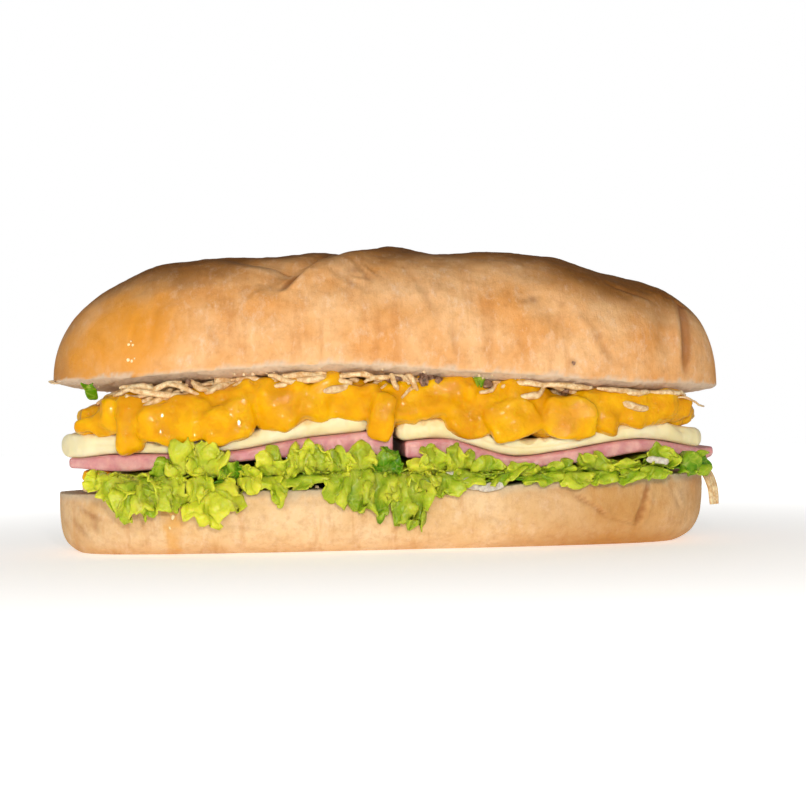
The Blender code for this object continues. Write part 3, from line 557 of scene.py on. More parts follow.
def ring_turns(crust_steps, cut_steps):
    """Turns once round a half of the roll, from the middle of its cut face."""
    crust = np.linspace(0, math.pi, crust_steps, endpoint=False)
    cut = np.linspace(-math.pi, 0, cut_steps, endpoint=False)
    return np.concatenate([crust, cut])


def make_crown(material):
    """The domed upper half, with its browning and painted shade, painted shade in its creases, reddish spots,
    wet stain and torn crumb painted on as shares.
    """
    steps = np.linspace(-1, 1, 380)[1:-1]
    x, turn = np.meshgrid(CROWN_HALF_LENGTH * np.sin(0.5 * math.pi * steps), ring_turns(176, 36),
                          indexing="ij")
    rings = crown_points(x, turn)
    ends = [crown_points(np.array(end), np.array(0.0)) for end in (-CROWN_HALF_LENGTH, CROWN_HALF_LENGTH)]
    points = np.concatenate([[ends[0]], rings.reshape(-1, 3), [ends[1]]])
    obj = mesh_object("top_bun_crust", points, lofted_faces(*rings.shape[:2]))
    x = np.concatenate([[-CROWN_HALF_LENGTH], x.ravel(), [CROWN_HALF_LENGTH]])
    turn = np.concatenate([[0.0], turn.ravel(), [0.0]])
    height = np.minimum(turn, math.pi - turn)
    rise = np.clip((points[:, 2] - line(CROWN_EDGE, x)) / line(CROWN_RISE, x), 0.0, 1.0)
    whole = np.sqrt(np.maximum(crown_height_share(x), 0.05))
    upward = np.arcsin(np.minimum(1.0, rise / whole) ** 1.175)
    # Browning and painted shade in one share: darker towards the top, from lower down towards both ends,
    # darker at the left tip and lighter on the right end's flap
    start = 0.72 - 0.40 * step_up(0.025, 0.080, x) - 0.30 * step_up(-0.030, -0.080, x)
    bake_and_shade = step_up(start, start + 0.60, upward + 0.10 * noise(points, 0.010, 31))
    bake_and_shade = np.maximum(bake_and_shade, 0.5 * step_up(-0.094, -0.108, x) * (turn > 0))
    bake_and_shade *= 1 - 0.55 * step_up(0.0950, 0.1000, x) * step_up(1.00, 0.60, height)
    stain = np.hypot((x + 0.0900) / 0.0240, (height - 0.36) / 0.60)
    stain = np.where(turn > 1.7, 2.0, stain)
    wet = step_up(1.30, 0.30, stain + 0.30 * noise(points, 0.007, 33) + 0.10 * noise(points, 0.002, 34))
    ragged = 0.020 * noise(points, 0.0040, 39) + 0.014 * noise(points, 0.0014, 40)
    crumb = np.where(turn < 0, 1.0, step_up(0.020, -0.004, height + ragged))
    # Painted shade in the creases, and the crust's reddish spots, in one share
    crease_shade_and_spots = np.clip(crown_creases(x, turn) / 0.0009, 0, 1)
    for spot_x, spot_turn, size, share in CROWN_SPOTS:
        away = np.hypot(x - spot_x, (turn - spot_turn) * CROWN_HALF_WIDTH) / size
        crease_shade_and_spots = np.maximum(crease_shade_and_spots, share * np.exp(-away ** 2))
    paint(obj, "crease_shade_and_spots", crease_shade_and_spots)
    paint(obj, "bake_and_shade", bake_and_shade)
    paint(obj, "wet", wet)
    paint(obj, "crumb", crumb)
    place(obj, material, "top_bun", "crust")


def make_heel(material):
    """The flat lower half, in the same way."""
    steps = np.sin(0.5 * math.pi * np.linspace(-1, 1, 300))[1:-1]
    along, turn = np.meshgrid(steps, ring_turns(108, 36), indexing="ij")
    rings = heel_points(along, turn)
    ends = [heel_points(np.array(end), np.array(0.0)) for end in (-1.0, 1.0)]
    points = np.concatenate([[ends[0]], rings[:, ::-1].reshape(-1, 3), [ends[1]]])
    obj = mesh_object("bottom_bun_crust", points, lofted_faces(*rings.shape[:2]))
    turn = np.concatenate([[0.0], turn[:, ::-1].ravel(), [0.0]])
    # Browning and painted shade in one share: darker at the bottom edge and towards the right end, a little
    # towards the left end, and less again at the very right end
    low = step_up(0.0060, 0.0005, points[:, 2])
    ends = 0.80 * step_up(0.020, 0.070, points[:, 0]) - 0.30 * step_up(0.078, 0.092, points[:, 0])
    ends += 0.20 * step_up(-0.070, -0.098, points[:, 0])
    bake_and_shade = np.clip(0.25 * low + ends + 0.18 * noise(points, 0.010, 35), 0, 1)
    run_width = 0.0030 + 0.0012 * noise(points, 0.004, 37)
    run = np.abs(points[:, 0] - HEEL_RUN_X + 0.0028 * noise(points, 0.007, 36)) / run_width
    wet = 0.75 * step_up(1.30, 0.50, run) * (points[:, 1] < -0.02) * (turn > 0)
    wet *= 0.45 + 0.55 * step_up(-0.35, 0.35, noise(points, 0.0034, 38))
    paint(obj, "bake_and_shade", bake_and_shade)
    paint(obj, "wet", wet)
    ragged = 0.02 * noise(points, 0.0045, 38) + 0.012 * noise(points, 0.0014, 39)
    crumb = np.where(turn < 0, 1.0, step_up(0.030, 0.004, np.minimum(turn, math.pi - turn) + ragged))
    paint(obj, "crumb", crumb)
    # Painted shade in the heel's creases
    creases = groove_push(points[:, 0], turn, HEEL_CREASES, CREASE_LIP)
    creases *= np.abs(heel_along(points[:, 0])) < 0.995
    paint(obj, "crease_shade_and_spots", np.clip(creases / 0.0009, 0, 1) * (turn > 0))
    place(obj, material, "bottom_bun", "crust_pale")


def rounded(points, half, radius):
    """Box points from -1 to 1 at the given half sizes, with every edge rounded to a radius."""
    sized = points * half
    kept = np.clip(sized, -(half - radius), half - radius)
    away = sized - kept
    length = np.linalg.norm(away, axis=-1, keepdims=True)
    return kept + away / np.maximum(length, 1e-9) * np.minimum(length, radius)


def make_slice(name, ends, under, over, radius, detail):
    """A slice between two height functions, with a rounded edge and its own detail."""
    unit, faces = box_grid(dense_ends(170, 1.15), dense_ends(34), dense_ends(13, 1.2))
    middle, reach = 0.5 * (ends[0] + ends[1]), 0.5 * (ends[1] - ends[0])
    x = middle + reach * unit[:, 0]
    low, high = under(x), over(x)
    half = np.stack([np.full(len(x), reach), np.full(len(x), SLICE_HALF_WIDTH), 0.5 * (high - low)], axis=-1)
    round_by = np.minimum(radius, 0.96 * half[:, 2:3])
    shaped = rounded(unit, half, round_by)
    x = middle + shaped[:, 0]
    y = shaped[:, 1] / SLICE_HALF_WIDTH * filling_half(x, SLICE_HALF_WIDTH)
    y *= 1 + 0.006 * np.sin(170 * x + 2 * unit[:, 1])
    z = 0.5 * (low + high) + shaped[:, 2] + settle(x, y)
    points = detail(unit, stack(x, y, z))
    obj = mesh_object(name, points, faces)
    paint(obj, "rim", step_up(0.80, 1.0, np.maximum(np.abs(unit[:, 0]) ** 8, np.abs(unit[:, 1]))))
    paint(obj, "level", unit[:, 2])
    return obj


def cheese_detail(shift, parted):
    """Soft uneven sides for a thick slice of cheese, parted in two layers along a stretch."""
    def shape(unit, points):
        side = step_up(0.90, 1.0, np.abs(unit[:, 1]))
        bulge = 0.0009 * noise(points * [1.0, 0.4, 0.4], 0.009, 41 + shift)
        bulge += 0.00040 * rough(points * [1.0, 1.0, 0.6], 0.0028, 43 + shift, 2)
        level = unit[:, 2] + 0.25 * noise(points * [1.0, 0.0, 0.0], 0.018, 45 + shift)
        start, end = parted
        where = step_up(start, start + 0.006, points[:, 0]) * step_up(end, end - 0.006, points[:, 0])
        seam = 0.0011 * where * np.exp(-((level - 0.12) / 0.16) ** 2)
        points[:, 1] += np.sign(unit[:, 1]) * side * (bulge - seam)
        ripped = rough(points * [1.0, 0.2, 0.0], 0.0042, 48 + shift, 2)
        points[:, 2] += 0.0013 * ripped * side * step_up(0.2, 0.8, unit[:, 2])
        points[:, 2] += 0.00022 * noise(points, 0.012, 47 + shift) * (np.abs(unit[:, 2]) > 0.5)
        return points
    return shape


def ham_detail(shift, folded):
    """Wavy edge for a thin slice of ham, with the lines of its folds along a stretch."""
    def shape(unit, points):
        side = step_up(0.90, 1.0, np.abs(unit[:, 1]))
        wave = 0.0008 * noise(points * [1.0, 0.2, 0.2], 0.006, 51 + shift)
        wave += 0.0003 * noise(points, 0.002, 55 + shift)
        start, end = folded
        where = step_up(start, start + 0.004, points[:, 0]) * step_up(end, end - 0.002, points[:, 0])
        level = unit[:, 2] + 0.20 * noise(points * [1.0, 0.0, 0.0], 0.012, 53 + shift)
        seam = sum(0.0008 * np.exp(-((level - at) / 0.10) ** 2) for at in (-0.42, 0.05, 0.50))
        points[:, 1] += np.sign(unit[:, 1]) * side * (wave - where * seam)
        return points
    return shape


def make_slices(cheese, ham):
    """Two slices of cooked ham, the left one folded thicker inside, and two of cheese on them."""
    sides = (("left", HAM_LEFT, HAM_OVER_LEFT, CHEESE_LEFT, CHEESE_OVER_LEFT, 1,
              (-0.100, -0.085), (-0.0150, 0.0)),
             ("right", HAM_RIGHT, HAM_OVER_RIGHT, CHEESE_RIGHT, CHEESE_OVER_RIGHT, 2,
              (0.0240, 0.0600), (0.0, 0.006)))
    for name, ham_ends, ham_over, cheese_ends, cheese_over, shift, parted, folded in sides:
        piece = make_slice("ham_slice_" + name, ham_ends, lambda x: line(HAM_UNDER, x),
                           lambda x, over=ham_over: line(over, x), 0.0012, ham_detail(shift, folded))
        place(piece, ham, "ham_" + name, "ham")
        piece = make_slice("cheese_slice_" + name, cheese_ends,
                           lambda x, over=ham_over: line(over, x) + 0.0001,
                           lambda x, over=cheese_over: line(over, x), 0.0034,
                           cheese_detail(shift, parted))
        place(piece, cheese, "cheese_" + name, "cheese")


def grid_faces(rows, columns, first):
    """Faces of a plain sheet of rows by columns whose points start at a number."""
    index = np.arange(rows * columns).reshape(rows, columns) + first
    quads = [index[:-1, :-1], index[:-1, 1:], index[1:, 1:], index[1:, :-1]]
    return np.stack(quads, axis=-1).reshape(-1, 4).tolist()


def clear_of_stack(points, side):
    """The points, kept outside the roll and the slices that they hang before."""
    x, y, z = points[..., 0], points[..., 1], points[..., 2]
    heel = heel_half(x) + 0.0007
    slices = filling_half(np.clip(x, -0.110, 0.110), SLICE_HALF_WIDTH) + 0.0008
    inner = np.where(z < line(HEEL_EDGE, x) + 0.001, heel, np.where(z > 0.0275, slices, 0.0))
    out = np.maximum(side * y, inner)
    out = np.where(out > OUTER_REACH - 0.002, OUTER_REACH - 0.002
                   + 0.002 * np.tanh((out - OUTER_REACH + 0.002) / 0.002), out)
    points[..., 1] = side * out
    return points


def frill(values, side, seed):
    """One ruffled lobe of a leaf, by rows from its middle to its margin: points, margin, and tone with
    painted shade in the hollows of its folds.
    """
    root_x, root_z, tip_x, tip_z, spread, half, folds, depth, tone_and_shade, reach = values
    r, turn = np.meshgrid(np.linspace(0.02, 1, FRILL_ROWS) ** 0.8,
                          np.linspace(-1, 1, FRILL_COLUMNS) * math.radians(spread), indexing="ij")
    hang = tip_z - root_z
    size = max(abs(hang), 3.0)
    arc = stack(half * np.sin(turn), size * np.cos(turn), 0 * turn)
    flat = stack(r * arc[..., 0], r * arc[..., 1], 0 * r)
    lobes = 0.34 * noise(arc, 3.6, seed) + 0.18 * noise(arc, 1.5, seed + 1) + 0.10 * noise(arc, 0.7, seed + 2)
    half *= 1.10
    shape = (0.64 + 0.36 * np.cos(turn)) * (1 + r ** 2 * lobes)
    widest = np.max((0.64 + 0.36 * np.cos(turn)) * np.abs(np.sin(turn)))
    phase = 0.62 * math.pi * folds * turn / math.radians(spread) + 1.9 * seed
    phase += 3.2 * noise(flat, 4.6, seed + 3)
    fine_phase = 2.3 * phase + 1.1 * seed + 3.0 * noise(flat, 2.2, seed + 4)
    swell = 1.15 * depth * step_up(0.10, 1.0, r) * (1 + 0.8 * noise(arc, 4.0, seed + 5))
    fine = 0.62 * depth * step_up(0.35, 1.0, r) ** 1.2 * (1 + 0.8 * noise(flat, 2.4, seed + 9))
    slide = -0.45 * swell * np.sin(2 * phase) + 0.45 * fine * np.cos(fine_phase)
    along = r * shape * np.cos(turn) - slide * np.sin(turn) / size
    across = half * r * shape * np.sin(turn) / widest + slide * np.cos(turn)
    curl = 2.1 * step_up(0.62, 1.0, r) ** 1.4 * noise(arc, 2.8, seed + 6)
    puckers = 0.70 * noise(flat, 3.2, seed + 7) + 0.28 * noise(flat, 1.4, seed + 8)
    out = swell * np.sin(phase) + fine * np.sin(fine_phase) + curl + puckers * step_up(0.05, 0.3, r)
    knots = (-0.30, 0.0, 0.35, 1.0, 1.3)
    spine_x = line(list(zip(knots, (root_x, root_x, 0.7 * root_x + 0.3 * tip_x, tip_x,
                                    tip_x + 0.25 * (tip_x - root_x)))), along)
    spine_y = line(list(zip(knots, (36.0, 41.4, 0.5 * (reach + 43.0), reach, reach - 0.5))), along)
    spine_z = line(list(zip(knots, (root_z - 0.05 * hang, root_z, root_z + 0.33 * hang, tip_z,
                                    tip_z + 0.27 * hang))), along)
    lean = np.array([tip_x - root_x, 0.0, hang])
    lean /= np.linalg.norm(lean)
    sideways = np.array([abs(lean[2]), 0.0, -lean[0] * np.sign(lean[2])])
    points = stack(spine_x, spine_y + out, spine_z) + sideways * across[..., None]
    points[..., 2] -= 0.35 * out * np.sign(hang)
    points[..., 1] *= side
    # Tone with painted shade: darker in the hollows of the folds, paler towards the margin, and varied at
    # random
    lit = tone_and_shade + 0.18 * np.tanh(0.8 * out / depth) + 0.20 * (r - 0.6)
    lit += 0.16 * noise(flat, 4.0, seed + 11)
    return clear_of_stack(0.001 * points, side), r, lit


def stacked_leaf(ends, bow, wave, level, seed):
    """A leaf's inner sheet between heel and ham, at a level from -1 to 1 of the room there."""
    u, v = np.meshgrid(np.linspace(-1, 1, STACK_COLUMNS), np.linspace(-1, 1, STACK_ROWS), indexing="ij")
    left, right = (end + push * (1 - v ** 4) for end, push in zip(ends, bow))
    x = left + (right - left) * 0.5 * (u + 1)
    y = 1.03 * LEAF_STACK_HALF * v * filling_half(x, 1.0)
    low, high = heel_face(x), line(HAM_UNDER, x) + settle(x, y)
    room = np.maximum(0.0, 0.5 * (high - low) - LEAF_THICKNESS - GAP)
    ruck = level + 0.30 * np.sin(2 * math.pi * x / LEAF_WAVE + wave + 1.2 * np.sign(v))
    ruck = np.clip(ruck + 0.65 * noise(stack(x, y, 0 * x), 0.005, seed), -1, 1)
    return stack(x, y, 0.5 * (low + high) + room * ruck)


def leaf_finish(obj, margin, tone_and_shade, material, node):
    """Paint a leaf's margin and tone, and give it its thickness and its place."""
    paint(obj, "margin", margin)
    paint(obj, "tone_and_shade", tone_and_shade)
    shell = obj.modifiers.new("thickness", "SOLIDIFY")
    shell.thickness = LEAF_THICKNESS
    shell.offset = 0.0
    place(obj, material, node, "lettuce")


def make_lettuce(material):
    """Leaves lying across the roll in several sheets, with ruffled lobes before and behind it."""
    rng = random.Random(12)
    for number, (name, leaf) in enumerate(LEAVES.items()):
        left, right, bow_left, bow_right, phase, frills = leaf
        points, faces, margin, tone_and_shade = [], [], [], []
        for i, level in enumerate(STACK_LEVELS):
            sheet = stacked_leaf((left, right), (-bow_left, bow_right), phase + 1.7 * i, level,
                                 60 + 5 * number + i)
            faces += grid_faces(STACK_COLUMNS, STACK_ROWS, sum(len(part) for part in points))
            points.append(sheet.reshape(-1, 3))
            margin.append(np.full(sheet.size // 3, 0.6))
            tone_and_shade.append(np.full(sheet.size // 3, 0.10 + 0.12 * i))
        for side in (-1, 1):
            for i, values in enumerate(frills):
                shown = list(values)
                if side > 0:
                    shown[0] = -values[0]
                    shown[2] = -values[2]
                    shown[3] += rng.uniform(-1.2, 1.2)
                    shown[6] *= rng.uniform(0.85, 1.2)
                lobe, share, lit = frill(shown, side, 3 * i + 101 * number + (50 if side > 0 else 0))
                faces += grid_faces(FRILL_ROWS, FRILL_COLUMNS, sum(len(part) for part in points))
                points.append(lobe.reshape(-1, 3))
                margin.append(share.ravel())
                tone_and_shade.append(lit.ravel())
        obj = mesh_object(name + "_leaf", np.concatenate(points), faces)
        leaf_finish(obj, np.concatenate(margin), np.concatenate(tone_and_shade), material, name)


def linear(code):
    """Linear RGBA of an sRGB hex colour."""
    parts = [int(code[i:i + 2], 16) / 255 for i in (0, 2, 4)]
    return (*[c / 12.92 if c <= 0.04045 else ((c + 0.055) / 1.055) ** 2.4 for c in parts], 1.0)


def add(tree, kind, sockets=None, **settings):
    """Add a node with its settings, and fill or link its sockets."""
    node = tree.nodes.new(kind)
    for name, value in settings.items():
        setattr(node, name, value)
    for key, value in (sockets or {}).items():
        if isinstance(value, bpy.types.NodeSocket):
            tree.links.new(value, node.inputs[key])
        else:
            node.inputs[key].default_value = value
    return node


def new_material(name, **plain):
    """A material with plain values on its shader's own sockets."""
    made = bpy.data.materials.new(name)
    made.use_nodes = True
    tree = made.node_tree
    shader = tree.nodes["Principled BSDF"]
    for socket, value in plain.items():
        shader.inputs[socket.replace("_", " ")].default_value = value
    return made, tree, shader


def bread_material(name, pale, gold, dark, crumb, stain):
    """Baked soft roll: thin dry crust, softly mottled pale to gold, dull, with a little flour on it, and
    painted shade towards its top along with the browning, in its wrinkle furrows, creases and crumb pores.
    """
    made, tree, shader = new_material(name, Subsurface_Weight=0.12, Subsurface_Radius=(1.0, 0.55, 0.25),
                                      Subsurface_Scale=0.0016, IOR=1.40, Specular_IOR_Level=0.15)
    here = add(tree, "ShaderNodeTexCoord").outputs["Object"]
    patches = add(tree, "ShaderNodeTexNoise",
                  {"Vector": here, "Scale": 1 / 0.016, "Detail": 4.0, "Roughness": 0.55})
    spots = add(tree, "ShaderNodeTexNoise",
                {"Vector": here, "Scale": 1 / 0.0030, "Detail": 5.0, "Roughness": 0.70})
    # The crust's grain is finer than this on a real roll, and would not show
    grain = add(tree, "ShaderNodeTexNoise", {"Vector": here, "Scale": 1 / 0.0006, "Detail": 3.0})
    streaks = add(tree, "ShaderNodeMapping",
                  {"Vector": here, "Scale": (1.7, 1.0, 1.0), "Rotation": (0.0, 0.6, 0.0)})
    dust = add(tree, "ShaderNodeTexNoise",
               {"Vector": streaks.outputs[0], "Scale": 1 / 0.0052, "Detail": 8.0, "Roughness": 0.78})
    mottle = add(tree, "ShaderNodeMapRange",
                 {"Value": patches.outputs["Fac"], "From Min": 0.36, "From Max": 0.66})
    skin = add(tree, "ShaderNodeMix", {0: mottle.outputs[0], 6: linear(pale), 7: linear(gold)},
               data_type="RGBA")
    upright = add(tree, "ShaderNodeMapping", {"Vector": here, "Scale": (1.0, 0.25, 0.16)})
    wrinkles = add(tree, "ShaderNodeTexNoise",
                   {"Vector": upright.outputs[0], "Scale": 1 / 0.0048, "Detail": 4.0, "Roughness": 0.60})
    # Painted shade in the furrows of the wrinkles, where the relief dips
    furrow_shade = add(tree, "ShaderNodeMapRange",
                 {"Value": wrinkles.outputs["Fac"], "From Min": 0.46, "From Max": 0.34, "To Max": 0.34})
    skin = add(tree, "ShaderNodeMix", {0: furrow_shade.outputs[0], 6: skin.outputs[2], 7: linear("C98548")},
               data_type="RGBA")
    # The bake share darkens the crust for its browning and for painted shade
    bake_and_shade = add(tree, "ShaderNodeAttribute", attribute_name="bake_and_shade")
    skin = add(tree, "ShaderNodeMix", {0: bake_and_shade.outputs["Fac"], 6: skin.outputs[2], 7: linear(dark)},
               data_type="RGBA")
    fleck = add(tree, "ShaderNodeMapRange",
                {"Value": spots.outputs["Fac"], "From Min": 0.46, "From Max": 0.74, "To Max": 0.38})
    skin = add(tree, "ShaderNodeMix", {0: fleck.outputs[0], 6: skin.outputs[2], 7: linear("B4733C")},
               data_type="RGBA")
    floury = add(tree, "ShaderNodeMapRange",
                 {"Value": dust.outputs["Fac"], "From Min": 0.52, "From Max": 0.70, "To Max": 0.46})
    unbaked = add(tree, "ShaderNodeMapRange", {"Value": bake_and_shade.outputs["Fac"], "To Min": 1.0, "To Max": 0.15})
    floury = add(tree, "ShaderNodeMath", {0: floury.outputs[0], 1: unbaked.outputs[0]}, operation="MULTIPLY")
    skin = add(tree, "ShaderNodeMix", {0: floury.outputs[0], 6: skin.outputs[2], 7: linear("F4DCC0")},
               data_type="RGBA")
    # Painted shade in the creases, with the crown's reddish spots, in one dark colour
    crease_shade_and_spots = add(tree, "ShaderNodeAttribute", attribute_name="crease_shade_and_spots")
    folded = add(tree, "ShaderNodeMath", {0: crease_shade_and_spots.outputs["Fac"], 1: 0.60}, operation="MULTIPLY")
    skin = add(tree, "ShaderNodeMix", {0: folded.outputs[0], 6: skin.outputs[2], 7: linear("8E4E24")},
               data_type="RGBA")
    wet = add(tree, "ShaderNodeAttribute", attribute_name="wet")
    part_wet = add(tree, "ShaderNodeMath", {0: wet.outputs["Fac"], 1: 0.72}, operation="MULTIPLY")
    skin = add(tree, "ShaderNodeMix", {0: part_wet.outputs[0], 6: skin.outputs[2], 7: linear(stain)},
               data_type="RGBA")
    cut = add(tree, "ShaderNodeAttribute", attribute_name="crumb")
    # Painted shade in the crumb's pores, darker towards the middle of each
    holes = add(tree, "ShaderNodeTexVoronoi", {"Vector": here, "Scale": 1 / 0.0016, "Randomness": 1.0})
    pore_shade = add(tree, "ShaderNodeMapRange",
                 {"Value": holes.outputs["Distance"], "From Min": 0.0, "From Max": 0.55})
    inside = add(tree, "ShaderNodeMix", {0: spots.outputs["Fac"], 2: pore_shade.outputs[0], 3: 0.9})
    inside = add(tree, "ShaderNodeMix", {0: inside.outputs[0], 6: linear("B99F86"), 7: linear(crumb)},
                 data_type="RGBA")
    colour = add(tree, "ShaderNodeMix", {0: cut.outputs["Fac"], 6: skin.outputs[2], 7: inside.outputs[2]},
                 data_type="RGBA")
    tree.links.new(colour.outputs[2], shader.inputs["Base Color"])
    dull = add(tree, "ShaderNodeMapRange", {"Value": wet.outputs["Fac"], "To Min": 0.58, "To Max": 0.26})
    tree.links.new(dull.outputs[0], shader.inputs["Roughness"])
    relief = add(tree, "ShaderNodeMath", {0: grain.outputs["Fac"], 1: 0.30}, operation="MULTIPLY")
    relief = add(tree, "ShaderNodeMath", {0: dust.outputs["Fac"], 1: relief.outputs[0]}, operation="ADD")
    relief = add(tree, "ShaderNodeMath", {0: wrinkles.outputs["Fac"], 1: 1.3, 2: relief.outputs[0]},
                 operation="MULTIPLY_ADD")
    bump = add(tree, "ShaderNodeBump", {"Height": relief.outputs[0], "Strength": 0.38, "Distance": 0.0008})
    tree.links.new(bump.outputs[0], shader.inputs["Normal"])
    return made


def ham_material():
    """Cooked pressed ham: moist, pink with paler marbling, a little see-through at its edge."""
    made, tree, shader = new_material("ham_cooked_sliced", Roughness=0.34, Subsurface_Weight=0.30, IOR=1.40,
                                      Subsurface_Radius=(1.0, 0.35, 0.25), Subsurface_Scale=0.0022)
    here = add(tree, "ShaderNodeTexCoord").outputs["Object"]
    marble = add(tree, "ShaderNodeTexNoise",
                 {"Vector": here, "Scale": 1 / 0.0050, "Detail": 5.0, "Roughness": 0.62})
    fine = add(tree, "ShaderNodeTexNoise", {"Vector": here, "Scale": 1 / 0.0008, "Detail": 3.0})
    share = add(tree, "ShaderNodeMapRange",
                {"Value": marble.outputs["Fac"], "From Min": 0.38, "From Max": 0.64})
    meat = add(tree, "ShaderNodeMix", {0: share.outputs[0], 6: linear("D68E92"), 7: linear("EBB6AC")},
               data_type="RGBA")
    level = add(tree, "ShaderNodeAttribute", attribute_name="level")
    size = add(tree, "ShaderNodeMath", {0: level.outputs["Fac"]}, operation="ABSOLUTE")
    edge = add(tree, "ShaderNodeMapRange",
               {"Value": size.outputs[0], "From Min": 0.55, "From Max": 1.0, "To Max": 0.40})
    meat = add(tree, "ShaderNodeMix", {0: edge.outputs[0], 6: meat.outputs[2], 7: linear("B0646E")},
               data_type="RGBA")
    tree.links.new(meat.outputs[2], shader.inputs["Base Color"])
    bump = add(tree, "ShaderNodeBump", {"Height": fine.outputs["Fac"], "Strength": 0.25, "Distance": 0.0004})
    tree.links.new(bump.outputs[0], shader.inputs["Normal"])
    return made


def cheese_material():
    """Mild white cheese: smooth, fatty and soft, cream with a faint yellow, light sinking into it."""
    made, tree, shader = new_material("cheese_soft_cream", Roughness=0.42, Subsurface_Weight=0.35, IOR=1.45,
                                      Subsurface_Radius=(1.0, 0.75, 0.40), Subsurface_Scale=0.0030)
    here = add(tree, "ShaderNodeTexCoord").outputs["Object"]
    clouds = add(tree, "ShaderNodeTexNoise", {"Vector": here, "Scale": 1 / 0.0120, "Detail": 4.0})
    fine = add(tree, "ShaderNodeTexNoise", {"Vector": here, "Scale": 1 / 0.0010, "Detail": 3.0})
    share = add(tree, "ShaderNodeMapRange",
                {"Value": clouds.outputs["Fac"], "From Min": 0.35, "From Max": 0.70})
    body = add(tree, "ShaderNodeMix", {0: share.outputs[0], 6: linear("F7EDC4"), 7: linear("EFDFA6")},
               data_type="RGBA")
    tree.links.new(body.outputs[2], shader.inputs["Base Color"])
    bump = add(tree, "ShaderNodeBump", {"Height": fine.outputs["Fac"], "Strength": 0.18, "Distance": 0.0003})
    tree.links.new(bump.outputs[0], shader.inputs["Normal"])
    return made


def leaf_material():
    """Curly lettuce: thin crisp leaf, glossy skin over bright green, paler towards its ribs, with painted
    shade in its tone share.
    """
    made, tree, shader = new_material("lettuce_curly_leaf", Roughness=0.36, Subsurface_Weight=0.45, IOR=1.42,
                                      Subsurface_Radius=(0.55, 1.0, 0.08), Subsurface_Scale=0.0022)
    here = add(tree, "ShaderNodeTexCoord").outputs["Object"]
    margin = add(tree, "ShaderNodeAttribute", attribute_name="margin")
    tone_and_shade = add(tree, "ShaderNodeAttribute", attribute_name="tone_and_shade")
    blotch = add(tree, "ShaderNodeTexNoise",
                 {"Vector": here, "Scale": 1 / 0.0046, "Detail": 4.0, "Roughness": 0.6})
    veins = add(tree, "ShaderNodeTexVoronoi", {"Vector": here, "Scale": 1 / 0.0034},
                feature="DISTANCE_TO_EDGE")
    mixed = add(tree, "ShaderNodeMath", {0: blotch.outputs["Fac"], 1: 0.9, 2: -0.45},
                operation="MULTIPLY_ADD")
    # The tone share holds the leaf's own tone and painted shade in its fold hollows and shaded frills
    mixed = add(tree, "ShaderNodeMath", {0: mixed.outputs[0], 1: tone_and_shade.outputs["Fac"]}, operation="ADD",
                use_clamp=True)
    leaf = add(tree, "ShaderNodeMix", {0: mixed.outputs[0], 6: linear("528A06"), 7: linear("DEE23E")},
               data_type="RGBA")
    rib = add(tree, "ShaderNodeMapRange",
              {"Value": veins.outputs["Distance"], "From Min": 0.07, "From Max": 0.0, "To Max": 0.22})
    leaf = add(tree, "ShaderNodeMix", {0: rib.outputs[0], 6: leaf.outputs[2], 7: linear("DCDC60")},
               data_type="RGBA")
    inner = add(tree, "ShaderNodeMapRange",
                {"Value": margin.outputs["Fac"], "From Min": 0.45, "From Max": 0.05, "To Max": 0.35})
    leaf = add(tree, "ShaderNodeMix", {0: inner.outputs[0], 6: leaf.outputs[2], 7: linear("D6D66A")},
               data_type="RGBA")
    tree.links.new(leaf.outputs[2], shader.inputs["Base Color"])
    relief = add(tree, "ShaderNodeMath", {0: veins.outputs["Distance"], 1: blotch.outputs["Fac"]},
                 operation="ADD")
    bump = add(tree, "ShaderNodeBump", {"Height": relief.outputs[0], "Strength": 0.45, "Distance": 0.0010})
    tree.links.new(bump.outputs[0], shader.inputs["Normal"])
    return made


def fruit_material():
    """Diced ripe yellow fruit: deep golden flesh that light passes through, under a film of syrup."""
    made, tree, shader = new_material("fruit_ripe_diced", Roughness=0.45, Subsurface_Weight=0.45, IOR=1.34,
                                      Subsurface_Radius=(1.0, 0.45, 0.02), Subsurface_Scale=0.0030,
                                      Specular_IOR_Level=0.15, Coat_Weight=0.80, Coat_Roughness=0.05)
    here = add(tree, "ShaderNodeTexCoord").outputs["Object"]
    clouds = add(tree, "ShaderNodeTexNoise", {"Vector": here, "Scale": 1 / 0.0080, "Detail": 4.0})
    dents = add(tree, "ShaderNodeTexNoise", {"Vector": here, "Scale": 1 / 0.0030, "Detail": 2.0})
    fibres = add(tree, "ShaderNodeTexNoise", {"Vector": here, "Scale": 1 / 0.0010, "Detail": 3.0})
    share = add(tree, "ShaderNodeMapRange",
                {"Value": clouds.outputs["Fac"], "From Min": 0.36, "From Max": 0.66})
    flesh = add(tree, "ShaderNodeMix", {0: share.outputs[0], 6: linear("DE9800"), 7: linear("F2B600")},
                data_type="RGBA")
    tree.links.new(flesh.outputs[2], shader.inputs["Base Color"])
    relief = add(tree, "ShaderNodeMath", {0: fibres.outputs["Fac"], 1: 0.18}, operation="MULTIPLY")
    relief = add(tree, "ShaderNodeMath", {0: dents.outputs["Fac"], 1: relief.outputs[0]}, operation="ADD")
    bump = add(tree, "ShaderNodeBump", {"Height": relief.outputs[0], "Strength": 0.36, "Distance": 0.0014})
    tree.links.new(bump.outputs[0], shader.inputs["Normal"])
    # Ripples in the syrup, coarser than real ones so that the highlights break up where they show
    ripples = add(tree, "ShaderNodeTexNoise", {"Vector": here, "Scale": 1 / 0.0017, "Detail": 0.0})
    wet = add(tree, "ShaderNodeBump",
              {"Height": ripples.outputs["Fac"], "Strength": 0.70, "Distance": 0.0013})
    tree.links.new(wet.outputs[0], shader.inputs["Coat Normal"])
    return made


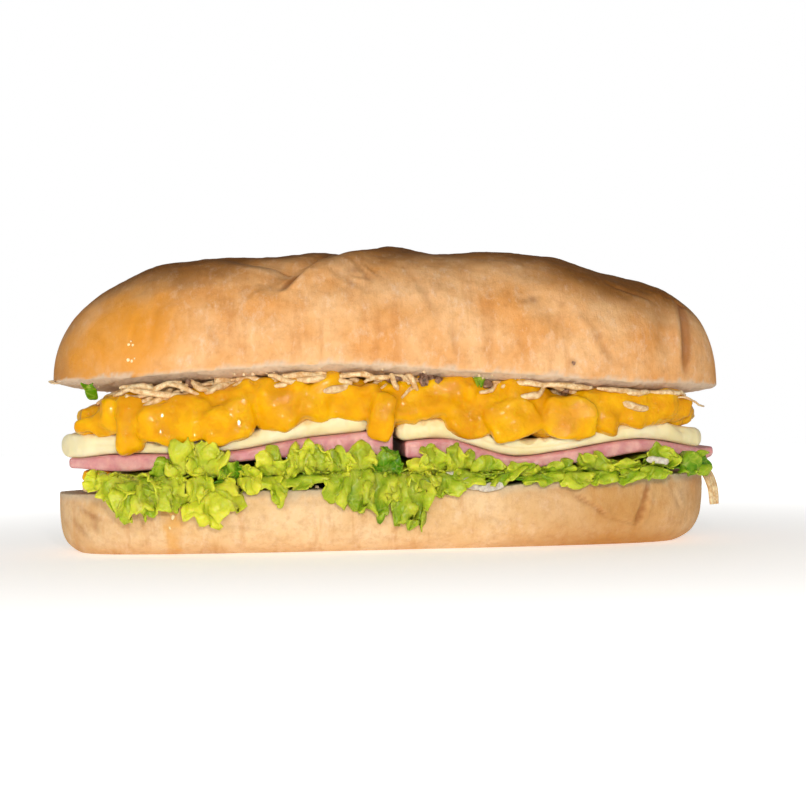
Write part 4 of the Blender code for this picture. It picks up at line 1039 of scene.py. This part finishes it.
def meat_material(name, pale, deep, roughness):
    """Shredded cooked poultry: pale dry fibres, darker where the relief of the fibres dips."""
    made, tree, shader = new_material(name, Roughness=roughness, Subsurface_Weight=0.20, IOR=1.42,
                                      Subsurface_Radius=(1.0, 0.6, 0.35), Subsurface_Scale=0.0012)
    here = add(tree, "ShaderNodeTexCoord").outputs["Object"]
    fibres = add(tree, "ShaderNodeTexNoise",
                 {"Vector": here, "Scale": 1 / 0.0016, "Detail": 5.0, "Roughness": 0.65})
    share = add(tree, "ShaderNodeMapRange",
                {"Value": fibres.outputs["Fac"], "From Min": 0.38, "From Max": 0.62})
    meat = add(tree, "ShaderNodeMix", {0: share.outputs[0], 6: linear(deep), 7: linear(pale)},
               data_type="RGBA")
    tree.links.new(meat.outputs[2], shader.inputs["Base Color"])
    bump = add(tree, "ShaderNodeBump",
               {"Height": fibres.outputs["Fac"], "Strength": 0.32, "Distance": 0.0005})
    tree.links.new(bump.outputs[0], shader.inputs["Normal"])
    return made


def syrup_drop_and_highlight_material():
    """Fruit syrup dried on the crust: glossy enough to catch a small bright highlight, and pale cream so that
    it also paints one on.
    """
    return new_material("syrup_drop_and_painted_highlight", Roughness=0.08, Subsurface_Weight=0.20, IOR=1.45,
                        Subsurface_Radius=(1.0, 0.5, 0.1), Subsurface_Scale=0.0010,
                        Base_Color=linear("FFE6B4"))[0]


def crumb_material():
    """Soft inside of the roll in loose crumbs: dry, matt and pale."""
    return new_material("roll_crumb_loose", Roughness=0.85, Subsurface_Weight=0.20, IOR=1.45,
                        Subsurface_Radius=(1.0, 0.7, 0.45), Subsurface_Scale=0.0010,
                        Base_Color=linear("DCC19A"))[0]


def grown(name, carrier, tree, values):
    """Run a node tree on its carrier and keep the result as a plain mesh object."""
    modifier = carrier.modifiers.new(name, "NODES")
    modifier.node_group = tree
    for item in tree.interface.items_tree:
        if item.item_type == "SOCKET" and item.in_out == "INPUT" and item.name in values:
            modifier[item.identifier] = values[item.name]
    depsgraph = bpy.context.evaluated_depsgraph_get()
    mesh = bpy.data.meshes.new_from_object(carrier.evaluated_get(depsgraph))
    carrier.modifiers.remove(modifier)
    bpy.data.objects.remove(carrier, do_unlink=True)
    obj = bpy.data.objects.new(name, mesh)
    bpy.context.scene.collection.objects.link(obj)
    return obj


def new_tree(name, inputs):
    """An empty node tree for geometry, with named inputs for its sizes."""
    tree = bpy.data.node_groups.new(name, "GeometryNodeTree")
    tree.interface.new_socket("Geometry", in_out="INPUT", socket_type="NodeSocketGeometry")
    for label, (kind, value) in inputs.items():
        socket = tree.interface.new_socket(label, in_out="INPUT", socket_type=kind)
        socket.default_value = value
    tree.interface.new_socket("Geometry", in_out="OUTPUT", socket_type="NodeSocketGeometry")
    return tree, add(tree, "NodeGroupInput"), add(tree, "NodeGroupOutput")


def roughened(tree, geometry, size, depth, seed):
    """Move realised points by a noise of a size and depth, both sockets of the tree."""
    here = add(tree, "GeometryNodeInputPosition")
    per_metre = add(tree, "ShaderNodeMath", {0: 1.0, 1: size}, operation="DIVIDE")
    field = add(tree, "ShaderNodeTexNoise", {"Vector": here.outputs[0], "Scale": per_metre.outputs[0],
                                             "W": float(seed), "Detail": 2.0}, noise_dimensions="4D")
    level = add(tree, "ShaderNodeVectorMath", {0: field.outputs["Color"], 1: (0.5, 0.5, 0.5)},
                operation="SUBTRACT")
    offset = add(tree, "ShaderNodeVectorMath", {0: level.outputs[0], "Scale": depth}, operation="SCALE")
    moved = add(tree, "GeometryNodeSetPosition", {"Geometry": geometry, "Offset": offset.outputs[0]})
    return moved.outputs[0]


def scatter_tree(name, material, shape):
    """Tree that puts a shape on every point, by its own turn and size, then roughens all of it."""
    tree, given, result = new_tree(name, {"Lump Size": ("NodeSocketFloat", 0.008),
                                          "Lump Depth": ("NodeSocketFloat", 0.001),
                                          "Grain Size": ("NodeSocketFloat", 0.0018),
                                          "Grain Depth": ("NodeSocketFloat", 0.0002)})
    turn = add(tree, "GeometryNodeInputNamedAttribute", {"Name": "turn"}, data_type="FLOAT_VECTOR")
    size = add(tree, "GeometryNodeInputNamedAttribute", {"Name": "size"}, data_type="FLOAT_VECTOR")
    turned = add(tree, "FunctionNodeEulerToRotation", {0: turn.outputs[0]})
    source = add(tree, "GeometryNodeObjectInfo", {"Object": shape})
    put = add(tree, "GeometryNodeInstanceOnPoints",
              {"Points": given.outputs["Geometry"], "Instance": source.outputs["Geometry"],
               "Rotation": turned.outputs[0], "Scale": size.outputs[0]})
    real = add(tree, "GeometryNodeRealizeInstances", {"Geometry": put.outputs[0]}).outputs[0]
    real = roughened(tree, real, given.outputs["Lump Size"], given.outputs["Lump Depth"], 1)
    real = roughened(tree, real, given.outputs["Grain Size"], given.outputs["Grain Depth"], 2)
    smooth = add(tree, "GeometryNodeSetShadeSmooth", {"Geometry": real})
    done = add(tree, "GeometryNodeSetMaterial", {"Geometry": smooth.outputs[0], "Material": material})
    tree.links.new(done.outputs[0], result.inputs[0])
    return tree


def strand_tree(name, material):
    """Tree that gives every line of edges a round, uneven body."""
    tree, given, result = new_tree(name, {"Lump Size": ("NodeSocketFloat", 0.003),
                                          "Lump Depth": ("NodeSocketFloat", 0.0010),
                                          "Grain Size": ("NodeSocketFloat", 0.0009),
                                          "Grain Depth": ("NodeSocketFloat", 0.0004)})
    curve = add(tree, "GeometryNodeMeshToCurve", {"Mesh": given.outputs["Geometry"]})
    radius = add(tree, "GeometryNodeInputNamedAttribute", {"Name": "thickness"}, data_type="FLOAT")
    ring = add(tree, "GeometryNodeCurvePrimitiveCircle", {"Resolution": 8, "Radius": 1.0})
    body = add(tree, "GeometryNodeCurveToMesh", {"Curve": curve.outputs[0], "Profile Curve": ring.outputs[0],
                                                 "Scale": radius.outputs[0], "Fill Caps": True})
    real = add(tree, "GeometryNodeRealizeInstances", {"Geometry": body.outputs[0]}).outputs[0]
    real = roughened(tree, real, given.outputs["Lump Size"], given.outputs["Lump Depth"], 3)
    real = roughened(tree, real, given.outputs["Grain Size"], given.outputs["Grain Depth"], 4)
    smooth = add(tree, "GeometryNodeSetShadeSmooth", {"Geometry": real})
    done = add(tree, "GeometryNodeSetMaterial", {"Geometry": smooth.outputs[0], "Material": material})
    tree.links.new(done.outputs[0], result.inputs[0])
    return tree


def points_carrier(name, rows):
    """Loose points with a place, a turn and a size each."""
    mesh = bpy.data.meshes.new(name)
    mesh.from_pydata([row[0] for row in rows], [], [])
    for index, label in ((1, "turn"), (2, "size")):
        layer = mesh.attributes.new(label, "FLOAT_VECTOR", "POINT")
        layer.data.foreach_set("vector", np.array([row[index] for row in rows], np.float32).ravel())
    obj = bpy.data.objects.new(name, mesh)
    bpy.context.scene.collection.objects.link(obj)
    return obj


def lines_carrier(name, paths, radii):
    """Lines of edges with a radius at each point."""
    points, edges, sizes = [], [], []
    for path, radius in zip(paths, radii):
        first = len(points)
        points += path.tolist()
        edges += [(first + i, first + i + 1) for i in range(len(path) - 1)]
        share = np.linspace(0, 1, len(path))
        sizes += (radius * (0.35 + 0.65 * np.sin(math.pi * (0.12 + 0.76 * share)))).tolist()
    mesh = bpy.data.meshes.new(name)
    mesh.from_pydata(points, edges, [])
    layer = mesh.attributes.new("thickness", "FLOAT", "POINT")
    layer.data.foreach_set("value", np.array(sizes, np.float32))
    obj = bpy.data.objects.new(name, mesh)
    bpy.context.scene.collection.objects.link(obj)
    return obj


def lump_ball(steps, density, power):
    """Points and faces of a lump of unit size, from a ball at power 2 to a block at a high one."""
    ticks = dense_ends(steps, density)
    points, faces = box_grid(ticks, ticks, ticks)
    length = np.sum(np.abs(points) ** power, axis=1) ** (1 / power)
    return points / length[:, None] * 0.5, faces


def roughness_values(lump, grain):
    """The inputs of a tree from the (size, depth) of its lumps and of its grain."""
    return {"Lump Size": lump[0], "Lump Depth": lump[1], "Grain Size": grain[0], "Grain Depth": grain[1]}


def scattered(name, rows, material, power, steps, lump, grain):
    """One piece of lumps on the rows' points. Lump and grain are the size and depth of its roughness."""
    shape = mesh_object(name + "_shape", *lump_ball(steps, 1.3, power))
    tree = scatter_tree(name + "_on_points", material, shape)
    piece = grown(name, points_carrier(name + "_points", rows), tree, roughness_values(lump, grain))
    bpy.data.objects.remove(shape, do_unlink=True)
    return piece


def stranded(name, paths, radii, material, lump, grain):
    """One piece of round strands along the paths, in the same way."""
    tree = strand_tree(name + "_on_lines", material)
    return grown(name, lines_carrier(name + "_lines", paths, radii), tree, roughness_values(lump, grain))


def drawn(rng, low, high):
    """Three random numbers from low to high."""
    return tuple(rng.uniform(low, high) for _ in range(3))


def heap_core(name, ends, half, under, over):
    """The inner block of a heap, between two height functions."""
    unit, faces = box_grid(np.linspace(-1, 1, 90), np.linspace(-1, 1, 30), np.linspace(-1, 1, 5))
    x = 0.5 * (ends[0] + ends[1]) + 0.5 * (ends[1] - ends[0]) * unit[:, 0]
    y = unit[:, 1] * filling_half(x, half)
    low, high = under(x, y), over(x, y)
    z = low + (high - low) * 0.5 * (unit[:, 2] + 1)
    return mesh_object(name, stack(x, y, z), faces)


def front_depth(x):
    """How far forward the filling's side lies at x."""
    return filling_half(x, SLICE_HALF_WIDTH)


def fruit_room(x, y):
    """Lowest and highest that fruit may reach at a single (x, y)."""
    x, y = np.array(x), np.array(y)
    return float(fruit_floor(x, y, 0.004)), float(fruit_roof(x, y))


def fruit_rows():
    """Place, turn and size of every dice, the back ones mirrored and changed a little."""
    rng = random.Random(41)
    rows = []
    for side in (-1, 1):
        for x, z, width, height, hangs in FRONT_DICE:
            px = x * 0.001 if side < 0 else -x * 0.001
            edge = float(front_depth(np.array(px)))
            deep = 0.0058 if hangs else 0.0120
            out = edge + 0.5 * deep - 0.0004 if hangs else edge - 0.5 * deep + 0.0026
            wobble = 0.12 if hangs else 0.30
            turn = (rng.uniform(-wobble, wobble), rng.uniform(-0.35, 0.35), rng.uniform(-wobble, wobble))
            change = (1.0, 1.0) if side < 0 else (rng.uniform(0.85, 1.1), rng.uniform(0.85, 1.1))
            size = (width * 0.001 * change[0] * DICE_SWELL[0], deep,
                    height * 0.001 * change[1] * DICE_SWELL[1])
            rows.append(((px, side * out, z * 0.001), turn, size))
        for i in range(40):
            x = FRUIT_ENDS[0] + 0.002 + 0.00465 * i + rng.uniform(-0.002, 0.002)
            edge = float(front_depth(np.array(x)))
            low, high = fruit_room(x, side * edge)
            turn = drawn(rng, -0.8, 0.8)
            size = drawn(rng, 0.0060, 0.0100)
            z = low + (high - low) * rng.uniform(0.25, 0.85)
            rows.append(((x, side * (edge - rng.uniform(0.0012, 0.0034)), z), turn, size))
        for i in range(21):
            x = FRUIT_ENDS[0] + 0.0093 * i + rng.uniform(-0.002, 0.002)
            edge = float(front_depth(np.array(x)))
            low, high = fruit_room(x, side * edge)
            turn = drawn(rng, -0.5, 0.5)
            size = drawn(rng, 0.0095, 0.0130)
            z = min(high - 0.0045, max(low + 0.0045, high - 0.005 + rng.uniform(-0.001, 0.001)))
            rows.append(((x, side * (edge - 0.0085), z), turn, size))
    for side, end in zip((-1, 1), FRUIT_ENDS):
        for y in np.linspace(-0.024, 0.024, 5):
            low, high = fruit_room(end, y)
            turn = drawn(rng, -0.3, 0.3)
            size = (0.0105, rng.uniform(0.011, 0.014), min(0.011, high - low))
            rows.append(((end + 0.001 * side, y, 0.5 * (low + high)), turn, size))
    return rows


def make_fruit(material):
    """Heap of diced yellow fruit: its core, and round it the dice under one skin of syrup."""
    core = heap_core("fruit_heap_core", FRUIT_ENDS, FRUIT_CORE_HALF,
                     lambda x, y: fruit_floor(x, y, 0.012), lambda x, y: fruit_roof(x, y) - 0.0035)
    place(core, material, "diced_fruit", "fruit")
    dice = scattered("fruit_dice", fruit_rows(), material, 4.2, 10, (0.0075, 0.0056), (0.0028, 0.0006))
    merged = dice.modifiers.new("one_skin", "REMESH")
    merged.mode = "VOXEL"
    merged.voxel_size = DICE_SKIN_STEP
    merged.use_smooth_shade = True
    place(dice, material, "diced_fruit", "fruit")


def chicken_paths():
    """Lines of the shreds that show under the crown's edge, on both sides and at the ends."""
    rng = random.Random(7)
    paths, radii = [], []
    for side in (-1, 1):
        for i in range(110):
            x = rng.uniform(CHICKEN_ENDS[0], CHICKEN_ENDS[1])
            length = rng.uniform(0.008, 0.022)
            heading = rng.choice((-1, 1)) * rng.uniform(0.0, 1.1)
            edge = float(front_depth(np.array(x)))
            out = edge + rng.uniform(-0.005, 0.0035)
            share = np.linspace(-0.5, 0.5, 12)
            px = x + length * math.cos(heading) * share
            bend = rng.uniform(-0.0025, 0.0025)
            py = out - abs(length * math.sin(heading)) * (share + 0.5) * 0.7
            py += bend * np.sin(math.pi * (share + 0.5))
            py = np.minimum(py, OUTER_REACH - 0.002)
            high = crumb_face(px, side * np.minimum(py, edge)) - 0.0006
            low = np.minimum(fruit_roof(px, side * py) - 0.0005, high - 0.001)
            level = rng.random() ** 0.8
            pz = low + (high - low) * level
            pz = pz - rng.uniform(0.001, 0.004) * step_up(edge - 0.001, edge + 0.003, py)
            pz = pz + rng.uniform(-0.0022, 0.0022) * share * 2
            paths.append(stack(px, side * py, np.minimum(pz, high)))
            radii.append(rng.uniform(0.00065, 0.00130))
        for start, finish_at, radius in FRONT_SHREDS:
            share = np.linspace(0, 1, 14)
            px = 0.001 * (start[0] + (finish_at[0] - start[0]) * share) * -side
            edge = front_depth(px)
            py = edge + 0.0008 + 0.0022 * np.sin(math.pi * share)
            pz = 0.001 * (start[1] + (finish_at[1] - start[1]) * share)
            pz += 0.0008 * np.sin(5 * share + start[0])
            high = crumb_face(px, side * np.minimum(py, edge)) - 0.0006
            paths.append(stack(px, side * np.minimum(py, OUTER_REACH - 0.002), np.minimum(pz, high)))
            radii.append(0.001 * radius)
        end = CHICKEN_ENDS[0] if side < 0 else CHICKEN_ENDS[1]
        for i in range(16):
            y = rng.uniform(-0.026, 0.026)
            share = np.linspace(0, 1, 12)
            px = end - side * 0.004 + side * share * rng.uniform(0.008, 0.014)
            py = y + rng.uniform(-0.008, 0.008) * share ** 2
            high = crumb_face(px, py) - 0.0006
            low = np.minimum(fruit_roof(px, py), high - 0.001)
            pz = low + (high - low) * rng.random() - 0.004 * share ** 3
            paths.append(stack(px, py, pz))
            radii.append(rng.uniform(0.0005, 0.0010))
    return paths, radii


def make_chicken(material, dark):
    """Shredded chicken under the crown: a core, fine shreds round its edges, and darker bits."""
    core = heap_core("chicken_layer_core", CHICKEN_ENDS, CHICKEN_CORE_HALF,
                     lambda x, y: fruit_roof(x, y) - 0.0030, lambda x, y: crumb_face(x, y) - GAP)
    place(core, material, "shredded_chicken", "chicken")
    strands = stranded("chicken_shreds", *chicken_paths(), material, (0.0045, 0.0014), (0.0012, 0.0003))
    place(strands, material, "shredded_chicken", "chicken")
    rng = random.Random(9)
    rows = []
    for side in (-1, 1):
        for start, end, count in DARK_BIT_RUNS:
            for _ in range(count):
                x = rng.uniform(start, end) * -side
                edge = float(front_depth(np.array(x)))
                y = side * (edge + rng.uniform(-0.003, 0.0015))
                z = float(crumb_face(np.array(x), np.array(y))) - rng.uniform(0.0010, 0.0030)
                rows.append(((x, y, z), drawn(rng, 0, 3), tuple(rng.uniform(*span) for span in BIT_SIZES)))
    speck = crown_points(np.array(CROWN_SPECK[0]), np.array(CROWN_SPECK[1]))
    rows.append((tuple(speck), (0.0, 0.3, 0.0), (0.0012, 0.0006, 0.0015)))
    bits = scattered("cooked_dark_bits", rows, dark, 3.0, 6, (0.0022, 0.0022), (0.0008, 0.0004))
    place(bits, dark, "shredded_chicken", "chicken")


def make_scraps(fruit, meat, onion):
    """Loose pieces between heel and ham, and a strip that hangs over the right end."""
    for name, node, slot, material, lump in (("fruit_loose_dice", "fruit_scrap", "fruit", fruit, 0.0005),
                                             ("chicken_loose_bit", "chicken_scrap", "chicken", meat, 0.0006),
                                             ("onion_loose_slice", "onion_scrap", "onion", onion, 0.0003)):
        low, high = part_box(node)
        unit, faces = lump_ball(15, 1.4, 5)
        points = unit * np.array(high - low) + np.array(high + low) * 0.5
        points += lump * np.stack([noise(points, 0.003, 71 + k) for k in range(3)], axis=-1)
        place(mesh_object(name, points, faces), material, node, slot)
    knots = np.linspace(0, 1, len(STRIP))
    share = np.linspace(0, 1, 26)
    middle = stack(*[line([(k, p[axis]) for k, p in zip(knots, STRIP)], share) for axis in range(3)])
    paths = [middle + [0.0011 * side, 0.0005 * side, 0.0003 * math.sin(3 * side)] for side in (-1, 0, 1)]
    strip = stranded("chicken_hanging_strip", paths, (0.0010, 0.0011, 0.0010), meat,
                     (0.0050, 0.0004), (0.0016, 0.0001))
    place(strip, meat, "chicken_strip", "chicken")


def make_drops(material):
    """Small drops of syrup on the crust's wet patch and down the heel, pale so that they also stand for
    painted highlights.
    """
    rng = random.Random(15)
    rows = []
    for x, turn, size in CROWN_DROPS:
        spot = crown_points(np.array(x * 0.001), np.array(turn))
        rows.append((tuple(spot), (0.25, 0.0, 0.0), (size * 0.001, 0.0005, size * 0.0012)))
    for x, z, size in HEEL_DROPS:
        rows.append(((x * 0.001, -HEEL_HALF_WIDTH, z * 0.001), (0.0, rng.uniform(-0.3, 0.3), 0.0),
                     (size * 0.001, 0.0007, size * 0.0016)))
    drops = scattered("fruit_syrup_drops", rows, material, 2.2, 10, (0.0020, 0.0004), (0.0010, 0.0001))
    place(drops, material, "top_bun", "fruit")


def make_crumbs(material):
    """Loose crumbs along both cut edges of the roll, and a thin flake at its left end."""
    rng = random.Random(19)
    rows = list(CRUST_FLAKES)
    for i in range(150):
        side = rng.choice((-1, 1))
        x = rng.uniform(-0.098, 0.096)
        size = rng.uniform(0.0003, 0.0010)
        turn = drawn(rng, 0, 3)
        sizes = tuple(size * rng.uniform(0.6, 1.2) for _ in range(3))
        half = heel_half(x) if i % 2 else crown_half(x)
        y = side * (float(half) - rng.uniform(0.0008, 0.0040))
        if i % 2:
            z = float(heel_face(np.array(x))) + 0.2 * size
        else:
            z = float(crumb_face(np.array(x), np.array(y))) - 0.2 * size
        rows.append(((x, y, z), turn, sizes))
    crumbs = scattered("roll_crumbs", rows, material, 3.0, 5, (0.0012, 0.0008), (0.0006, 0.0003))
    place(crumbs, material, "bottom_bun", "crust_pale")


def make_small_leaves(leaf, pale):
    """Bits of herb and lettuce under the crown, a pale bit in the right leaf, and slices of onion."""
    for number, (name, node, values) in enumerate(SMALL_LEAVES):
        points, share, lit = frill(values, -1, 700 + 10 * number)
        obj = mesh_object(name, points, grid_faces(FRILL_ROWS, FRILL_COLUMNS, 0))
        leaf_finish(obj, share, lit, leaf, node)
    bit = scattered("pale_bit_in_lettuce", PALE_BITS, pale, 2.6, 10, (0.0030, 0.0014), (0.0010, 0.0003))
    place(bit, pale, "lettuce_right", "onion")
    slices = scattered("onion_front_slices", ONION_BITS, pale, 2.6, 10, (0.0034, 0.0012), (0.0012, 0.0002))
    place(slices, pale, "onion_scrap", "onion")


def make_stage():
    """Pale floor that glows a little near the middle and fully further out, running into a white surround,
    with soft lights.
    """
    scene = bpy.context.scene
    scene.view_settings.view_transform = "Standard"
    half = 3.0
    floor = mesh_object("floor", [(-half, -half, 0), (half, -half, 0), (half, half, 0), (-half, half, 0)],
                        [(0, 1, 2, 3)])
    made, tree, shader = new_material("studio_floor_pale_glowing", Roughness=0.9, Specular_IOR_Level=0.1,
                                      Base_Color=linear("F4F3F0"), Emission_Color=linear("FFFFFF"))
    # The floor glows: its emission rises with distance from the middle, so that it fades into the white
    # surround and lights the food a little from below
    here = add(tree, "ShaderNodeTexCoord").outputs["Object"]
    away = add(tree, "ShaderNodeVectorMath", {0: here}, operation="LENGTH")
    far = add(tree, "ShaderNodeMapRange", {"Value": away.outputs["Value"], "From Min": 0.08,
                                           "From Max": 0.48, "To Min": 0.44, "To Max": 1.0})
    tree.links.new(far.outputs[0], shader.inputs["Emission Strength"])
    floor.data.materials.append(made)
    floor.visible_glossy = False
    world = bpy.data.worlds.new("white_surround")
    world.use_nodes = True
    tree = world.node_tree
    tree.nodes.clear()
    ambient = add(tree, "ShaderNodeBackground", {"Color": (1.0, 0.98, 0.95, 1.0), "Strength": 0.22})
    seen = add(tree, "ShaderNodeBackground", {"Color": (1.0, 1.0, 1.0, 1.0), "Strength": 1.0})
    path = add(tree, "ShaderNodeLightPath")
    mix = add(tree, "ShaderNodeMixShader", {0: path.outputs["Is Camera Ray"], 1: ambient.outputs[0],
                                            2: seen.outputs[0]})
    add(tree, "ShaderNodeOutputWorld", {0: mix.outputs[0]})
    scene.world = world
    lights = (("front_softbox", (-0.24, -0.70, 0.11), 0.36, 1.50, False),
              ("lens_flash", (-0.02, -0.47, 0.09), 0.030, 0.72, True),
              ("back_softbox", (0.30, 0.80, 0.25), 0.60, 1.0, False),
              ("left_fill", (-0.80, -0.10, 0.25), 0.50, 0.35, False))
    for name, where, size, power, mirrored in lights:
        light = bpy.data.lights.new(name, "AREA")
        light.shape = "DISK"
        light.size = size
        light.energy = power
        light.color = (1.0, 0.97, 0.93)
        obj = bpy.data.objects.new(name, light)
        obj.location = where
        obj.rotation_mode = "QUATERNION"
        obj.rotation_quaternion = (Vector((0.0, 0.0, 0.045)) - obj.location).to_track_quat("-Z", "Y")
        obj.visible_glossy = mirrored
        scene.collection.objects.link(obj)


def make_camera():
    """Camera at the photograph's viewing angle, tipped sideways a little as there."""
    middle, distance, height, azimuth = Vector((0.0037, 0.0, 0.0470)), 0.480, 0.0365, math.radians(-6.0)
    rise = math.asin((height - middle.z) / distance)
    back = Vector((math.sin(azimuth) * math.cos(rise), -math.cos(azimuth) * math.cos(rise), math.sin(rise)))
    data = bpy.data.cameras.new("camera")
    data.sensor_width = 36.0
    data.lens = 62.3
    data.clip_start = 0.01
    obj = bpy.data.objects.new("camera", data)
    obj.location = middle + back * distance
    aim = middle + Vector((0.0006, 0.0, 0.0010))
    obj.rotation_mode = "QUATERNION"
    tip = Quaternion((0.0, 0.0, 1.0), math.radians(-0.85))
    obj.rotation_quaternion = (aim - obj.location).to_track_quat("-Z", "Y") @ tip
    bpy.context.scene.collection.objects.link(obj)
    bpy.context.scene.camera = obj


make_stage()
make_camera()
make_crown(bread_material("bread_crust_crown", "F0BE87", "E2A05C", "86541C", "DAC0A4", "E5961E"))
make_heel(bread_material("bread_crust_heel", "F2D2A6", "E8BE88", "C8914F", "D8C2A2", "E3A033"))
make_slices(cheese_material(), ham_material())
lettuce_skin = leaf_material()
make_lettuce(lettuce_skin)
fruit_flesh = fruit_material()
chicken_meat = meat_material("poultry_cooked_shreds", "F6DDB0", "D2A46A", 0.34)
make_fruit(fruit_flesh)
make_chicken(chicken_meat, meat_material("cooked_bits_dark", "A8826A", "5E4434", 0.40))
onion_flesh = meat_material("onion_pale_slice", "E6E0CE", "BDB0A4", 0.3)
make_scraps(fruit_flesh, chicken_meat, onion_flesh)
make_drops(syrup_drop_and_highlight_material())
make_crumbs(crumb_material())
make_small_leaves(lettuce_skin, onion_flesh)
